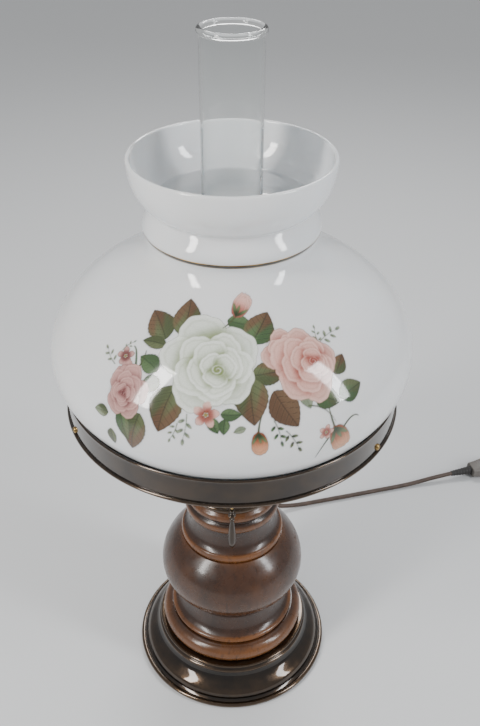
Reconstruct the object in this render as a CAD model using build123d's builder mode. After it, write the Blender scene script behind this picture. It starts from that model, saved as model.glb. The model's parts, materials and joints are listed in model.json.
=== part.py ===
from build123d import *
import os
from math import asin, cos, degrees, pi, radians, sin, sqrt, tan

os.makedirs("parts", exist_ok=True)

# Table lamp in the style of an oil lamp, in millimetres.
# Origin: centre of the foot, on the surface that it stands on. +Z up, -Y is the front.

# ---------------------------------------------------------------- driving dimensions
fit_gap = 0.3  # between surfaces of bodies that move apart
seat_gap = 0.05  # between fixed pieces that slip together

foot_radius = 90.3  # centre circle of the rolled rim
foot_height = 35.0
foot_wall = 1.3
rim_roll = 2.3  # radius of the rolled rim
rim_groove = 5.0  # level of the groove over the rim
felt_thickness = 2.0
ballast_radius = 65.0
ballast_bottom = 16.0

pipe_radius = 5.0
pipe_bore = 3.8
pipe_bottom = 14.0
nut_flats = 17.0
nut_height = 5.0
washer_radius = 14.0
washer_thickness = 1.6

torus_height = 17.6  # lowest turning of the column
torus_radius = 67.6
body_height = 96.9  # turning with the large bulge
body_radius = 66.0
waist_radius = 48.0
capital_height = 52.5  # top turning
capital_radius = 42.6
cap_height = 12.0  # metal cap on the column
cap_radius = 40.0
neck_height = 76.0
neck_radius = 17.0

hub_radius = 13.5
hub_thickness = 6.0
arm_width = 12.0
arm_thickness = 3.0
arm_azimuths = (-35.0, 85.0, 205.0)
ring_clear = 3.0347  # from the globe to the outer face of the shade ring's wall
ring_wall = 1.2
ring_lift = 20.2  # ring's ledge over the hub
ring_drop = 9.5  # wall below the ledge
ledge_lip = 4.5  # down-turned edge of the ledge
ring_rise = 12.2  # wall above the ledge
ledge_reach = 4.5  # of the ring's ledge, inwards of the shade's lower rim
ring_roll = 1.5
ring_bead = 1.1
screw_radius = 1.5
screw_head = 2.8

shade_radius = 140.0
shade_rise = 84.5  # from the widest line up to the crown of the ellipse
shade_fall = 77.0  # from the widest line down to the ellipse's foot
shade_wall = 3.0
fitter_radius = 117.5  # lower rim
neck_in_radius = 60.8
bead_radius = 64.4
mouth_waist = 58.5
mouth_radius = 73.3
mouth_height = 60.0  # from the crown's foot to the lip

chimney_radius = 21.6
chimney_wall = 1.6
chimney_length = 248.5
chimney_lip = 2.2
prong_height = 22.0
prong_width = 9.0
prong_wall = 0.8

holder_radius = 13.6  # moulded lampholder body
holder_height = 41.0
holder_lift = 7.0  # of the holder over its cup's floor
pipe_reach = 6.0  # of the pipe through the cup's floor
cup_radius = 15.5
thread_radius = 7.0  # bulb's screw cap
bulb_clear = 2.5  # between the bulb and the chimney
bulb_length = 100.0

chain_reach = 50.0  # from the lamp's axis to the hanging chain
chain_pitch = 3.4
bead_ball = 1.2
link_wire = 0.4
arm_bore = 1.9
arm_tube = 2.9
pull_travel = 8.0
lever_length = 10.0
lever_width = 2.4
lever_eye = 2.4  # radius of the lever round its pin
hook_play = 0.2  # of the chain's first ball before the lever's tip
chain_fall = 18.8  # from the arm's bore down to the ball that the chain swings on
fob_length = 37.0
fob_radius = 3.4
bell_height = 6.5

cord_radius = 2.6
cord_exit_height = 12.0
relief_length = 26.0
coil_radius = 29.05  # middle of the turns
coil_columns = 4
coil_layers = 2
turn_pitch = 5.3
tie_thickness = 0.8
tie_slack = 0.6  # the flat tie against the round coil
plug_length = 38.0
plug_width = 26.0
plug_height = 15.0
pin_length = 19.0
pin_spacing = 19.0
pin_radius = 2.0

# ---------------------------------------------------------------- levels, worked out
torus_top = foot_height + torus_height
body_top = torus_top + body_height
column_top = body_top + capital_height
cap_top = column_top + cap_height
neck_top = cap_top + neck_height
hub_top = neck_top + hub_thickness
cup_bottom = hub_top + nut_height
pipe_top = cup_bottom + pipe_reach
holder_bottom = cup_bottom + holder_lift
holder_top = holder_bottom + holder_height
ledge_top = hub_top + ring_lift
ring_bottom = ledge_top - ring_drop
ring_top = ledge_top + ring_rise
shade_rim = ledge_top + fit_gap
rim_turn = asin(sqrt(1 - (fitter_radius / shade_radius) ** 2))
shade_middle = shade_rim + shade_fall * sin(rim_turn)
globe_at_ring = shade_radius * sqrt(1 - ((shade_middle - ring_top) / shade_fall) ** 2)
ring_radius = globe_at_ring + ring_clear
ledge_radius = fitter_radius - ledge_reach
pipe_clear = pipe_radius + seat_gap
bulb_radius = chimney_radius - chimney_wall - bulb_clear


# ---------------------------------------------------------------- foot
with BuildPart() as felt_pad:
    Cylinder(
        foot_radius - 2 * rim_roll,
        felt_thickness,
        align=(Align.CENTER, Align.CENTER, Align.MIN),
    )
felt_pad.part.label = "felt_pad"
export_step(felt_pad.part, "parts/felt_pad.step")


def ogee(inset):
    """Side of the foot from its groove up to its top bead, moved inwards by the inset."""
    edge = foot_radius - inset
    Spline(
        (edge - 4.3, 6.5),
        (edge - 6.3, 12.5),
        (edge - 13.8, 18.5),
        (edge - 18.7, 27.0),
        tangents=((0, 1), (-0.1, 1)),
    )


with BuildPart() as spun_foot:
    with BuildSketch(Plane.XZ):
        with BuildLine():
            ogee(0)
            ThreePointArc(
                (foot_radius - 18.7, 27.0),
                (foot_radius - 17.2, 29.2),
                (foot_radius - 19.2, 31.2),
            )
            Line((foot_radius - 19.2, 31.2), (foot_radius - 19.9, 32.2))
            ThreePointArc(
                (foot_radius - 19.9, 32.2),
                (foot_radius - 18.9, 33.7),
                (foot_radius - 20.2, foot_height),
            )
            Polyline(
                (foot_radius - 20.2, foot_height),
                (0, foot_height),
                (0, felt_thickness),
                (foot_radius, felt_thickness),
                (foot_radius, rim_groove),
                (foot_radius - 4.3, 6.5),
            )
        make_face()
        with Locations((foot_radius, rim_roll + 1.2)):
            Circle(rim_roll)
    revolve(axis=Axis.Z)
    with BuildSketch(Plane.XZ):
        with BuildLine():
            ogee(foot_wall)
            Polyline(
                (foot_radius - 18.7 - foot_wall, 27.0),
                (foot_radius - 21.5 - foot_wall, foot_height - foot_wall),
                (0, foot_height - foot_wall),
                (0, 0),
                (foot_radius - 4.3 - foot_wall, 0),
                (foot_radius - 4.3 - foot_wall, 6.5),
            )
        make_face()
    revolve(axis=Axis.Z, mode=Mode.SUBTRACT)
    Cylinder(pipe_clear, 4 * foot_height, mode=Mode.SUBTRACT)
    with Locations((0, foot_radius, cord_exit_height)):
        Cylinder(4.1, 40, rotation=(90, 0, 0), mode=Mode.SUBTRACT)
spun_foot.part.label = "spun_foot"
export_step(spun_foot.part, "parts/spun_foot.step")

ballast_top = foot_height - foot_wall
recess_top = ballast_top - 8.0
with BuildPart() as ballast_weight:
    with Locations((0, 0, ballast_bottom)):
        Cylinder(
            ballast_radius,
            ballast_top - ballast_bottom,
            align=(Align.CENTER, Align.CENTER, Align.MIN),
        )
    chamfer(ballast_weight.edges().filter_by(GeomType.CIRCLE), 1.5)
    Cylinder(pipe_clear, 4 * foot_height, mode=Mode.SUBTRACT)
    Cylinder(
        washer_radius + 3,
        recess_top,
        align=(Align.CENTER, Align.CENTER, Align.MIN),
        mode=Mode.SUBTRACT,
    )
ballast_weight.part.label = "ballast_weight"
export_step(ballast_weight.part, "parts/ballast_weight.step")

with BuildPart() as base_washer:
    with Locations((0, 0, recess_top)):
        Cylinder(washer_radius, washer_thickness, align=(Align.CENTER, Align.CENTER, Align.MAX))
    Cylinder(pipe_clear, 4 * foot_height, mode=Mode.SUBTRACT)
base_washer.part.label = "base_washer"
export_step(base_washer.part, "parts/base_washer.step")

with BuildPart() as base_nut:
    with BuildSketch(Plane.XY.offset(recess_top - washer_thickness - nut_height)):
        RegularPolygon(nut_flats / 2, 6, major_radius=False)
        Circle(pipe_clear, mode=Mode.SUBTRACT)
    extrude(amount=nut_height)
base_nut.part.label = "base_nut"
export_step(base_nut.part, "parts/base_nut.step")

with BuildPart() as threaded_pipe:
    with BuildSketch(Plane.XY.offset(pipe_bottom)):
        Circle(pipe_radius)
        Circle(pipe_bore, mode=Mode.SUBTRACT)
    extrude(amount=pipe_top - pipe_bottom)
threaded_pipe.part.label = "threaded_pipe"
export_step(threaded_pipe.part, "parts/threaded_pipe.step")

# ---------------------------------------------------------------- turned column
with BuildPart() as column_torus:
    with BuildSketch(Plane.XZ):
        with BuildLine():
            ThreePointArc(
                (torus_radius - 4.0, foot_height),
                (torus_radius, foot_height + 0.47 * torus_height),
                (torus_radius - 6.6, torus_top - 0.8),
            )
            Polyline(
                (torus_radius - 6.6, torus_top - 0.8),
                (torus_radius - 8.0, torus_top),
                (pipe_clear, torus_top),
                (pipe_clear, foot_height),
                (torus_radius - 4.0, foot_height),
            )
        make_face()
    revolve(axis=Axis.Z)
column_torus.part.label = "column_torus"
export_step(column_torus.part, "parts/column_torus.step")

bulge_level = torus_top + 0.618 * body_height
waist_level = torus_top + 0.25 * body_height
astragal_radius = torus_radius - 9.2
body_shoulder = capital_radius + 4.0
with BuildPart() as column_body:
    with BuildSketch(Plane.XZ):
        with BuildLine():
            ThreePointArc(
                (astragal_radius - 1.6, torus_top),
                (astragal_radius, torus_top + 2.3),
                (astragal_radius - 1.7, torus_top + 4.6),
            )
            Bezier(
                (astragal_radius - 1.7, torus_top + 4.6),
                (waist_radius + 2.6, torus_top + 7.0),
                (waist_radius, waist_level - 9.0),
                (waist_radius, waist_level),
            )
            Bezier(
                (waist_radius, waist_level),
                (waist_radius, waist_level + 12.0),
                (body_radius, bulge_level - 20.0),
                (body_radius, bulge_level),
            )
            Bezier(
                (body_radius, bulge_level),
                (body_radius, bulge_level + 18.5),
                (body_shoulder + 6.9, body_top - 6.0),
                (body_shoulder, body_top),
            )
            Polyline(
                (body_shoulder, body_top),
                (pipe_clear, body_top),
                (pipe_clear, torus_top),
                (astragal_radius - 1.6, torus_top),
            )
        make_face()
    revolve(axis=Axis.Z)
column_body.part.label = "column_body"
export_step(column_body.part, "parts/column_body.step")

cove_radius = capital_radius - 4.6
with BuildPart() as column_capital:
    with BuildSketch(Plane.XZ):
        with BuildLine():
            ThreePointArc(
                (capital_radius + 2.8, body_top),
                (capital_radius + 4.0, body_top + 3.8),
                (capital_radius + 2.8, body_top + 7.5),
            )
            Line((capital_radius + 2.8, body_top + 7.5), (capital_radius + 1.8, body_top + 7.9))
            Bezier(
                (capital_radius + 1.8, body_top + 7.9),
                (cove_radius + 1.6, body_top + 11.0),
                (cove_radius, body_top + 17.5),
                (cove_radius, body_top + 25.5),
            )
            Line((cove_radius, body_top + 25.5), (cove_radius + 0.6, body_top + 30.5))
            ThreePointArc(
                (cove_radius + 0.6, body_top + 30.5),
                (capital_radius, body_top + 36.5),
                (cove_radius + 1.2, body_top + 42.0),
            )
            Line((cove_radius + 1.2, body_top + 42.0), (cove_radius + 1.2, body_top + 43.2))
            ThreePointArc(
                (cove_radius + 1.2, body_top + 43.2),
                (capital_radius - 1.5, body_top + 47.3),
                (cove_radius + 0.8, column_top - 1.3),
            )
            Polyline(
                (cove_radius + 0.8, column_top - 1.3),
                (cove_radius - 0.4, column_top),
                (pipe_clear, column_top),
                (pipe_clear, body_top),
                (capital_radius + 2.8, body_top),
            )
        make_face()
    revolve(axis=Axis.Z)
column_capital.part.label = "column_capital"
export_step(column_capital.part, "parts/column_capital.step")

# ---------------------------------------------------------------- metal cap and neck
with BuildPart() as column_cap:
    with BuildSketch(Plane.XZ):
        with BuildLine():
            Line((cap_radius - 3.2, column_top), (cap_radius - 1.6, column_top + 1.4))
            ThreePointArc(
                (cap_radius - 1.6, column_top + 1.4),
                (cap_radius, column_top + 3.8),
                (cap_radius - 1.6, column_top + 6.2),
            )
            Bezier(
                (cap_radius - 1.6, column_top + 6.2),
                (cap_radius - 9.0, column_top + 9.4),
                (neck_radius + 3.0, cap_top - 1.4),
                (neck_radius, cap_top),
            )
            Polyline(
                (neck_radius, cap_top),
                (pipe_clear, cap_top),
                (pipe_clear, cap_top - 2.0),
                (neck_radius, cap_top - 2.0),
                (cap_radius - 7.0, column_top + 4.6),
                (cap_radius - 7.0, column_top),
                (cap_radius - 3.2, column_top),
            )
        make_face()
    revolve(axis=Axis.Z)
column_cap.part.label = "column_cap"
export_step(column_cap.part, "parts/column_cap.step")

with BuildPart() as neck_vase:
    with BuildSketch(Plane.XZ):
        with BuildLine():
            ThreePointArc(
                (neck_radius - 2.5, cap_top),
                (neck_radius - 0.9, cap_top + 2.4),
                (neck_radius - 2.5, cap_top + 4.8),
            )
            Bezier(
                (neck_radius - 2.5, cap_top + 4.8),
                (neck_radius - 8.0, cap_top + 6.5),
                (neck_radius - 8.5, cap_top + 12.0),
                (neck_radius - 8.5, cap_top + 15.0),
            )
            Bezier(
                (neck_radius - 8.5, cap_top + 15.0),
                (neck_radius - 8.5, cap_top + 24.0),
                (neck_radius, cap_top + 27.0),
                (neck_radius, cap_top + 38.0),
            )
            Bezier(
                (neck_radius, cap_top + 38.0),
                (neck_radius, cap_top + 50.0),
                (neck_radius - 8.0, cap_top + 48.0),
                (neck_radius - 8.0, neck_top - 14.0),
            )
            ThreePointArc(
                (neck_radius - 8.0, neck_top - 14.0),
                (neck_radius - 5.4, neck_top - 11.2),
                (neck_radius - 8.0, neck_top - 8.4),
            )
            Bezier(
                (neck_radius - 8.0, neck_top - 8.4),
                (neck_radius - 7.4, neck_top - 3.0),
                (hub_radius - 1.0, neck_top - 4.0),
                (hub_radius - 0.5, neck_top),
            )
            Polyline(
                (hub_radius - 0.5, neck_top),
                (pipe_clear, neck_top),
                (pipe_clear, cap_top),
                (neck_radius - 2.5, cap_top),
            )
        make_face()
    revolve(axis=Axis.Z)
neck_vase.part.label = "neck_vase"
export_step(neck_vase.part, "parts/neck_vase.step")

# ---------------------------------------------------------------- shade ring and spider
wall_inside = ring_radius - ring_wall
tab_gap = 0.25  # the flat tab against the round wall
tab_radius = wall_inside - tab_gap - arm_thickness / 2
strap_level = neck_top + hub_thickness / 2
tab_top = ledge_top - ring_wall - 1.5
screw_level = ring_bottom + 0.5 * ring_drop
with BuildPart() as spider_arm:
    with BuildLine(Plane.XZ) as arm_path:
        FilletPolyline(
            (hub_radius - 2, strap_level),
            (tab_radius - 14, strap_level),
            (tab_radius, ring_bottom - 4.0),
            (tab_radius, tab_top),
            radius=5.0,
        )
    with BuildSketch(Plane(origin=arm_path.line @ 0, x_dir=(0, 1, 0), z_dir=arm_path.line % 0)):
        Rectangle(arm_width, arm_thickness)
    sweep()
    with Locations((tab_radius, 0, screw_level)):
        Cylinder(screw_radius + seat_gap, 20, rotation=(0, 90, 0), mode=Mode.SUBTRACT)

with BuildPart() as shade_spider:
    with Locations((0, 0, neck_top)):
        Cylinder(hub_radius, hub_thickness, align=(Align.CENTER, Align.CENTER, Align.MIN))
    for azimuth in arm_azimuths:
        add(spider_arm.part, rotation=(0, 0, azimuth))
    Cylinder(pipe_clear, 4 * neck_top, mode=Mode.SUBTRACT)
shade_spider.part.label = "shade_spider"
export_step(shade_spider.part, "parts/shade_spider.step")

with BuildPart() as hub_nut:
    with BuildSketch(Plane.XY.offset(hub_top)):
        RegularPolygon(nut_flats / 2, 6, major_radius=False)
        Circle(pipe_clear, mode=Mode.SUBTRACT)
    extrude(amount=nut_height)
hub_nut.part.label = "hub_nut"
export_step(hub_nut.part, "parts/hub_nut.step")

with BuildPart() as gallery_ring:
    with BuildSketch(Plane.XZ):
        with BuildLine():
            Polyline(
                (ring_radius, ring_bottom),
                (ring_radius, ring_top),
                (wall_inside, ring_top),
                (wall_inside, ledge_top),
                (ledge_radius, ledge_top),
                (ledge_radius, ledge_top - ledge_lip),
                (ledge_radius + ring_wall, ledge_top - ledge_lip),
                (ledge_radius + ring_wall, ledge_top - ring_wall),
                (wall_inside, ledge_top - ring_wall),
                (wall_inside, ring_bottom),
                close=True,
            )
        make_face()
        with Locations((wall_inside + ring_roll, ring_bottom)):
            Circle(ring_roll)
        with Locations((ring_radius - 0.6, ring_top)):
            Circle(ring_bead)
    revolve(axis=Axis.Z)
    for azimuth in arm_azimuths:
        with BuildSketch(
            Plane(
                origin=(0, 0, screw_level),
                x_dir=(0, 0, 1),
                z_dir=(cos(radians(azimuth)), sin(radians(azimuth)), 0),
            )
        ):
            Circle(screw_radius + seat_gap)
        extrude(amount=2 * ring_radius, mode=Mode.SUBTRACT)
gallery_ring.part.label = "gallery_ring"
export_step(gallery_ring.part, "parts/gallery_ring.step")

with BuildPart() as ring_screw:
    with BuildSketch(Plane.XZ.shift_origin((0, 0, screw_level))):
        with BuildLine():
            Bezier(
                (ring_radius, screw_head),
                (ring_radius + 1.2, screw_head),
                (ring_radius + 2.0, 0.6 * screw_head),
                (ring_radius + 2.0, 0),
            )
            Polyline(
                (ring_radius + 2.0, 0),
                (tab_radius - 4.0, 0),
                (tab_radius - 4.0, screw_radius),
                (ring_radius, screw_radius),
                (ring_radius, screw_head),
            )
        make_face()
    revolve(axis=Axis((0, 0, screw_level), (1, 0, 0)))

with BuildPart() as ring_screws:
    for azimuth in arm_azimuths:
        add(ring_screw.part, rotation=(0, 0, azimuth))
ring_screws.part.label = "ring_screws"
export_step(ring_screws.part, "parts/ring_screws.step")

# ---------------------------------------------------------------- opal shade
crown_turn = radians(47.7)  # ellipse angle where the crown turns up into the neck
neck_level = shade_middle + shade_rise + 7.0
lip_level = neck_level + mouth_height


def shade_side(inset):
    """Draws the shade's side from rim to lip, moved inwards by the inset, and closes it at the axis."""
    wide = shade_radius - inset
    fall = shade_fall - inset
    rise = shade_rise - inset
    start = asin((shade_middle - shade_rim) / fall)
    crown = Vector(wide * cos(crown_turn), shade_middle + rise * sin(crown_turn))
    slope = Vector(-wide * sin(crown_turn), rise * cos(crown_turn))
    waist = Vector(mouth_waist - 0.55 * inset, neck_level + 25.5 + 0.83 * inset)
    EllipticalCenterArc(
        (0, shade_middle), wide, fall, start_angle=-degrees(start), arc_size=degrees(start)
    )
    EllipticalCenterArc((0, shade_middle), wide, rise, arc_size=degrees(crown_turn))
    Bezier(
        crown,
        crown + 0.17 * slope,
        (neck_in_radius - inset, neck_level - 9.0),
        (neck_in_radius - inset, neck_level),
    )
    Bezier(
        (neck_in_radius - inset, neck_level),
        (neck_in_radius - inset, neck_level + 4.5),
        (bead_radius - inset, neck_level + 5.0),
        (bead_radius - inset, neck_level + 10.5),
    )
    Bezier(
        (bead_radius - inset, neck_level + 10.5),
        (bead_radius - inset, neck_level + 17.0),
        waist - (2.4, 1.6),
        waist,
    )
    Bezier(
        waist,
        waist + (6.0, 4.0),
        (mouth_radius - inset - 0.5, neck_level + 38.0),
        (mouth_radius - inset, lip_level),
    )
    Polyline(
        (mouth_radius - inset, lip_level),
        (0, lip_level),
        (0, shade_rim),
        (wide * cos(start), shade_rim),
    )


with BuildPart() as opal_shade:
    with BuildSketch(Plane.XZ) as shade_section:
        with BuildLine():
            shade_side(0)
        make_face()
        with BuildLine():
            shade_side(shade_wall)
        make_face(mode=Mode.SUBTRACT)
        fillet(shade_section.vertices().group_by(Axis.Y)[-1], 0.48 * shade_wall)
        fillet(shade_section.vertices().group_by(Axis.Y)[0], 0.2 * shade_wall)
    revolve(axis=Axis.Z)
opal_shade.part.label = "opal_shade"
export_step(opal_shade.part, "parts/opal_shade.step")

# ---------------------------------------------------------------- lampholder and chimney holder
with BuildPart() as holder_cup:
    with BuildSketch(Plane.XZ):
        with BuildLine():
            Polyline(
                (pipe_clear, cup_bottom),
                (cup_radius - 2.5, cup_bottom),
                (cup_radius, cup_bottom + 2.5),
                (cup_radius, cup_bottom + 17.0),
                (cup_radius - 1.0, cup_bottom + 17.0),
                (cup_radius - 1.0, cup_bottom + 3.0),
                (cup_radius - 3.0, cup_bottom + 1.2),
                (pipe_clear + 3.0, cup_bottom + 1.2),
                (pipe_clear + 3.0, cup_bottom + 5.0),
                (pipe_clear, cup_bottom + 5.0),
                close=True,
            )
        make_face()
    revolve(axis=Axis.Z)
holder_cup.part.label = "holder_cup"
export_step(holder_cup.part, "parts/holder_cup.step")

plate_level = holder_top - 6.0  # underside of the chimney holder's plate
plate_wall = 1.2
shell_wall = 0.6
shell_inside = thread_radius + fit_gap
shell_bottom = holder_top - 20.5
contact_top = shell_bottom - 3.0
with BuildPart() as holder_body:
    with BuildSketch(Plane.XZ):
        with BuildLine():
            Polyline(
                (0, holder_bottom),
                (holder_radius, holder_bottom),
                (holder_radius, plate_level - 5.0),
                (cup_radius, plate_level - 3.5),
                (cup_radius, plate_level),
                (holder_radius, plate_level),
                (holder_radius, holder_top),
                (shell_inside + shell_wall + seat_gap, holder_top),
                (shell_inside + shell_wall + seat_gap, shell_bottom),
                (5.0, shell_bottom),
                (5.0, contact_top - 3.2),
                (0, contact_top - 3.2),
                close=True,
            )
        make_face()
    revolve(axis=Axis.Z)
holder_body.part.label = "holder_body"
export_step(holder_body.part, "parts/holder_body.step")

with BuildPart() as holder_shell:
    with BuildSketch(Plane.XY.offset(shell_bottom)):
        Circle(shell_inside + shell_wall)
        Circle(shell_inside, mode=Mode.SUBTRACT)
    extrude(amount=holder_top - 2.5 - shell_bottom)
holder_shell.part.label = "holder_shell"
export_step(holder_shell.part, "parts/holder_shell.step")

with BuildPart() as centre_contact:
    with BuildSketch(Plane.XZ):
        with BuildLine():
            Polyline(
                (0, contact_top),
                (0, contact_top - 3.2),
                (4.2, contact_top - 3.2),
                (4.2, contact_top - 2.6),
                (1.8, contact_top - 2.6),
            )
            Bezier(
                (1.8, contact_top - 2.6),
                (1.8, contact_top - 1.0),
                (1.2, contact_top),
                (0, contact_top),
            )
        make_face()
    revolve(axis=Axis.Z)
centre_contact.part.label = "centre_contact"
export_step(centre_contact.part, "parts/centre_contact.step")

prong_inside = chimney_radius + fit_gap
prong_outside = prong_inside + prong_wall
with BuildPart() as chimney_holder:
    with BuildSketch(Plane.XY.offset(plate_level)):
        Circle(prong_outside)
        Circle(holder_radius + seat_gap, mode=Mode.SUBTRACT)
        with PolarLocations((holder_radius + prong_outside) / 2 + 0.6, 12):
            Circle(1.2, mode=Mode.SUBTRACT)
    extrude(amount=plate_wall)
    with BuildSketch(Plane.XY.offset(plate_level)) as prongs:
        with PolarLocations(prong_inside, 4, start_angle=45):
            Rectangle(4 * prong_wall, prong_width)
        Circle(prong_inside, mode=Mode.SUBTRACT)
        add(Circle(prong_outside, mode=Mode.PRIVATE), mode=Mode.INTERSECT)
    extrude(amount=prong_height)
    with PolarLocations(prong_inside + 1.0, 4, start_angle=45):
        with Locations((0, 0, plate_level + prong_height)):
            Cylinder(1.0, prong_width - 1.0, rotation=(90, 0, 0))
chimney_holder.part.label = "chimney_holder"
export_step(chimney_holder.part, "parts/chimney_holder.step")

with BuildPart() as holder_ring:
    with BuildSketch(Plane.XY.offset(plate_level + plate_wall)):
        Circle(holder_radius + 2.6)
        Circle(holder_radius + seat_gap, mode=Mode.SUBTRACT)
    extrude(amount=3.6)
    chamfer(holder_ring.edges().group_by(Axis.Z)[-1].sort_by(SortBy.LENGTH)[-1], 0.8)
holder_ring.part.label = "holder_ring"
export_step(holder_ring.part, "parts/holder_ring.step")

chimney_bottom = plate_level + plate_wall + fit_gap
chimney_top = chimney_bottom + chimney_length
with BuildPart() as chimney:
    with BuildSketch(Plane.XZ):
        with BuildLine():
            Polyline(
                (chimney_radius, chimney_bottom),
                (chimney_radius, chimney_top - chimney_lip),
                (chimney_radius - chimney_wall, chimney_top - chimney_lip),
                (chimney_radius - chimney_wall, chimney_bottom),
                close=True,
            )
        make_face()
        with Locations((chimney_radius - 0.6, chimney_top - chimney_lip)):
            Circle(chimney_lip)
    revolve(axis=Axis.Z)
chimney.part.label = "chimney"
export_step(chimney.part, "parts/chimney.step")

# ---------------------------------------------------------------- candle bulb
bulb_bottom = contact_top + fit_gap
cap_start = bulb_bottom + 4.0
cap_end = bulb_bottom + 21.0
bulb_top = bulb_bottom + bulb_length
glass_neck = thread_radius - 0.6
with BuildPart() as bulb_contact:
    with Locations((0, 0, bulb_bottom)):
        Cone(1.4, 2.4, 1.2, align=(Align.CENTER, Align.CENTER, Align.MIN))
bulb_contact.part.label = "bulb_contact"
export_step(bulb_contact.part, "parts/bulb_contact.step")

with BuildPart() as bulb_insulator:
    with Locations((0, 0, bulb_bottom + 1.2)):
        Cone(2.6, 5.4, 2.8, align=(Align.CENTER, Align.CENTER, Align.MIN))
bulb_insulator.part.label = "bulb_insulator"
export_step(bulb_insulator.part, "parts/bulb_insulator.step")

with BuildPart() as bulb_cap:
    with BuildSketch(Plane.XZ):
        with BuildLine():
            Polyline(
                (0, cap_start),
                (thread_radius - 1.2, cap_start),
                (thread_radius, cap_start + 1.5),
                (thread_radius, cap_end),
                (glass_neck + seat_gap, cap_end),
                (glass_neck + seat_gap, cap_start + 2.0),
                (0, cap_start + 2.0),
                close=True,
            )
        make_face()
    revolve(axis=Axis.Z)
bulb_cap.part.label = "bulb_cap"
export_step(bulb_cap.part, "parts/bulb_cap.step")

glass_start = cap_end - 7.0
belly_level = bulb_bottom + 0.5 * bulb_length
glass_wall = 0.8


def candle_side(inset):
    """Draws the bulb's side from its neck to its tip, moved inwards by the inset."""
    belly = bulb_radius - inset
    tip = bulb_top - inset
    Line((glass_neck - inset, glass_start), (glass_neck - inset, cap_end + 1.5))
    Bezier(
        (glass_neck - inset, cap_end + 1.5),
        (glass_neck - inset, cap_end + 10.0),
        (belly, belly_level - 15.0),
        (belly, belly_level),
    )
    Bezier((belly, belly_level), (belly, belly_level + 26.0), (0.3 * belly, tip), (0, tip))
    Polyline((0, tip), (0, glass_start), (glass_neck - inset, glass_start))


with BuildPart() as bulb_glass:
    with BuildSketch(Plane.XZ):
        with BuildLine():
            candle_side(0)
        make_face()
        with BuildLine():
            candle_side(glass_wall)
        make_face(mode=Mode.SUBTRACT)
    revolve(axis=Axis.Z)
bulb_glass.part.label = "bulb_glass"
export_step(bulb_glass.part, "parts/bulb_glass.step")

with BuildPart() as bulb_stem:
    with BuildSketch(Plane.XZ):
        with BuildLine():
            Polyline(
                (0, glass_start),
                (glass_neck - 1.2, glass_start),
                (1.8, cap_end + 1.0),
                (1.2, cap_end + 16.0),
                (0, cap_end + 17.0),
                close=True,
            )
        make_face()
    revolve(axis=Axis.Z)
bulb_stem.part.label = "bulb_stem"
export_step(bulb_stem.part, "parts/bulb_stem.step")

with BuildPart() as bulb_filament:
    with BuildLine(Plane.XZ) as filament_path:
        FilletPolyline(
            (-2.0, cap_end + 9.0),
            (-8.0, cap_end + 24.0),
            (0, cap_end + 32.0),
            (8.0, cap_end + 24.0),
            (2.0, cap_end + 9.0),
            radius=1.5,
        )
    with BuildSketch(Plane(origin=filament_path.line @ 0, z_dir=filament_path.line % 0)):
        Circle(0.3)
    sweep()
bulb_filament.part.label = "bulb_filament"
export_step(bulb_filament.part, "parts/bulb_filament.step")

# ---------------------------------------------------------------- pull switch
box_side = 16.0
box_back = -cup_radius - 0.5  # face towards the lampholder
box_front = box_back - box_side
box_bottom = cup_bottom + 1.0
box_height = 18.0
box_wall = 2.0
pivot_y = (box_back + box_front) / 2
pivot_z = box_bottom + 3.8
lever_rest = degrees(asin(pull_travel / 2 / lever_length))  # leans back at rest
chain_level = pivot_z + lever_length * cos(radians(lever_rest))
pin_radius_switch = 1.2
with BuildPart() as switch_box:
    with Locations((0, pivot_y, box_bottom)):
        Box(box_side, box_side, box_height, align=(Align.CENTER, Align.CENTER, Align.MIN))
    fillet(switch_box.edges().filter_by(Axis.Z), 2.5)
    with Locations((0, box_back + 1.0, box_bottom + box_height / 2)):
        Cylinder(5.0, 6.0, rotation=(90, 0, 0))
    Cylinder(cup_radius + seat_gap, 4 * holder_top, mode=Mode.SUBTRACT)
    with Locations((0, pivot_y, box_bottom + 1.2)):
        Box(
            box_side - 2 * box_wall,
            box_side - 2 * box_wall,
            box_height,
            align=(Align.CENTER, Align.CENTER, Align.MIN),
            mode=Mode.SUBTRACT,
        )
    with Locations((0, pivot_y, pivot_z)):
        Cylinder(pin_radius_switch, 2 * box_side, rotation=(0, 90, 0), mode=Mode.SUBTRACT)
    with Locations((0, box_front, chain_level)):
        Cylinder(arm_bore, 3 * box_wall, rotation=(90, 0, 0), mode=Mode.SUBTRACT)
switch_box.part.label = "switch_box"
export_step(switch_box.part, "parts/switch_box.step")

with BuildPart() as switch_cover:
    with BuildSketch(Plane.XY.offset(box_bottom + box_height)):
        with Locations((0, pivot_y)):
            RectangleRounded(box_side, box_side, 2.5)
    extrude(amount=1.2)
switch_cover.part.label = "switch_cover"
export_step(switch_cover.part, "parts/switch_cover.step")

with BuildPart() as lever_pin:
    with Locations((0, pivot_y, pivot_z)):
        Cylinder(pin_radius_switch, box_side, rotation=(0, 90, 0))
lever_pin.part.label = "lever_pin"
export_step(lever_pin.part, "parts/lever_pin.step")

lever_plane = Plane(
    origin=(0, pivot_y, pivot_z),
    x_dir=(0, sin(radians(lever_rest)), cos(radians(lever_rest))),
    z_dir=(1, 0, 0),
)
with BuildPart() as switch_lever:
    with BuildSketch(lever_plane.offset(-2.5)):
        Circle(lever_eye)
        Circle(pin_radius_switch + seat_gap, mode=Mode.SUBTRACT)
    extrude(amount=5.0)
    with BuildSketch(lever_plane.offset(-1.5)):
        with Locations((lever_length / 2, 0)):
            SlotCenterToCenter(lever_length, lever_width)
        Circle(pin_radius_switch + seat_gap, mode=Mode.SUBTRACT)
    extrude(amount=3.0)
switch_lever.part.label = "switch_lever"
export_step(switch_lever.part, "parts/switch_lever.step")

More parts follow.
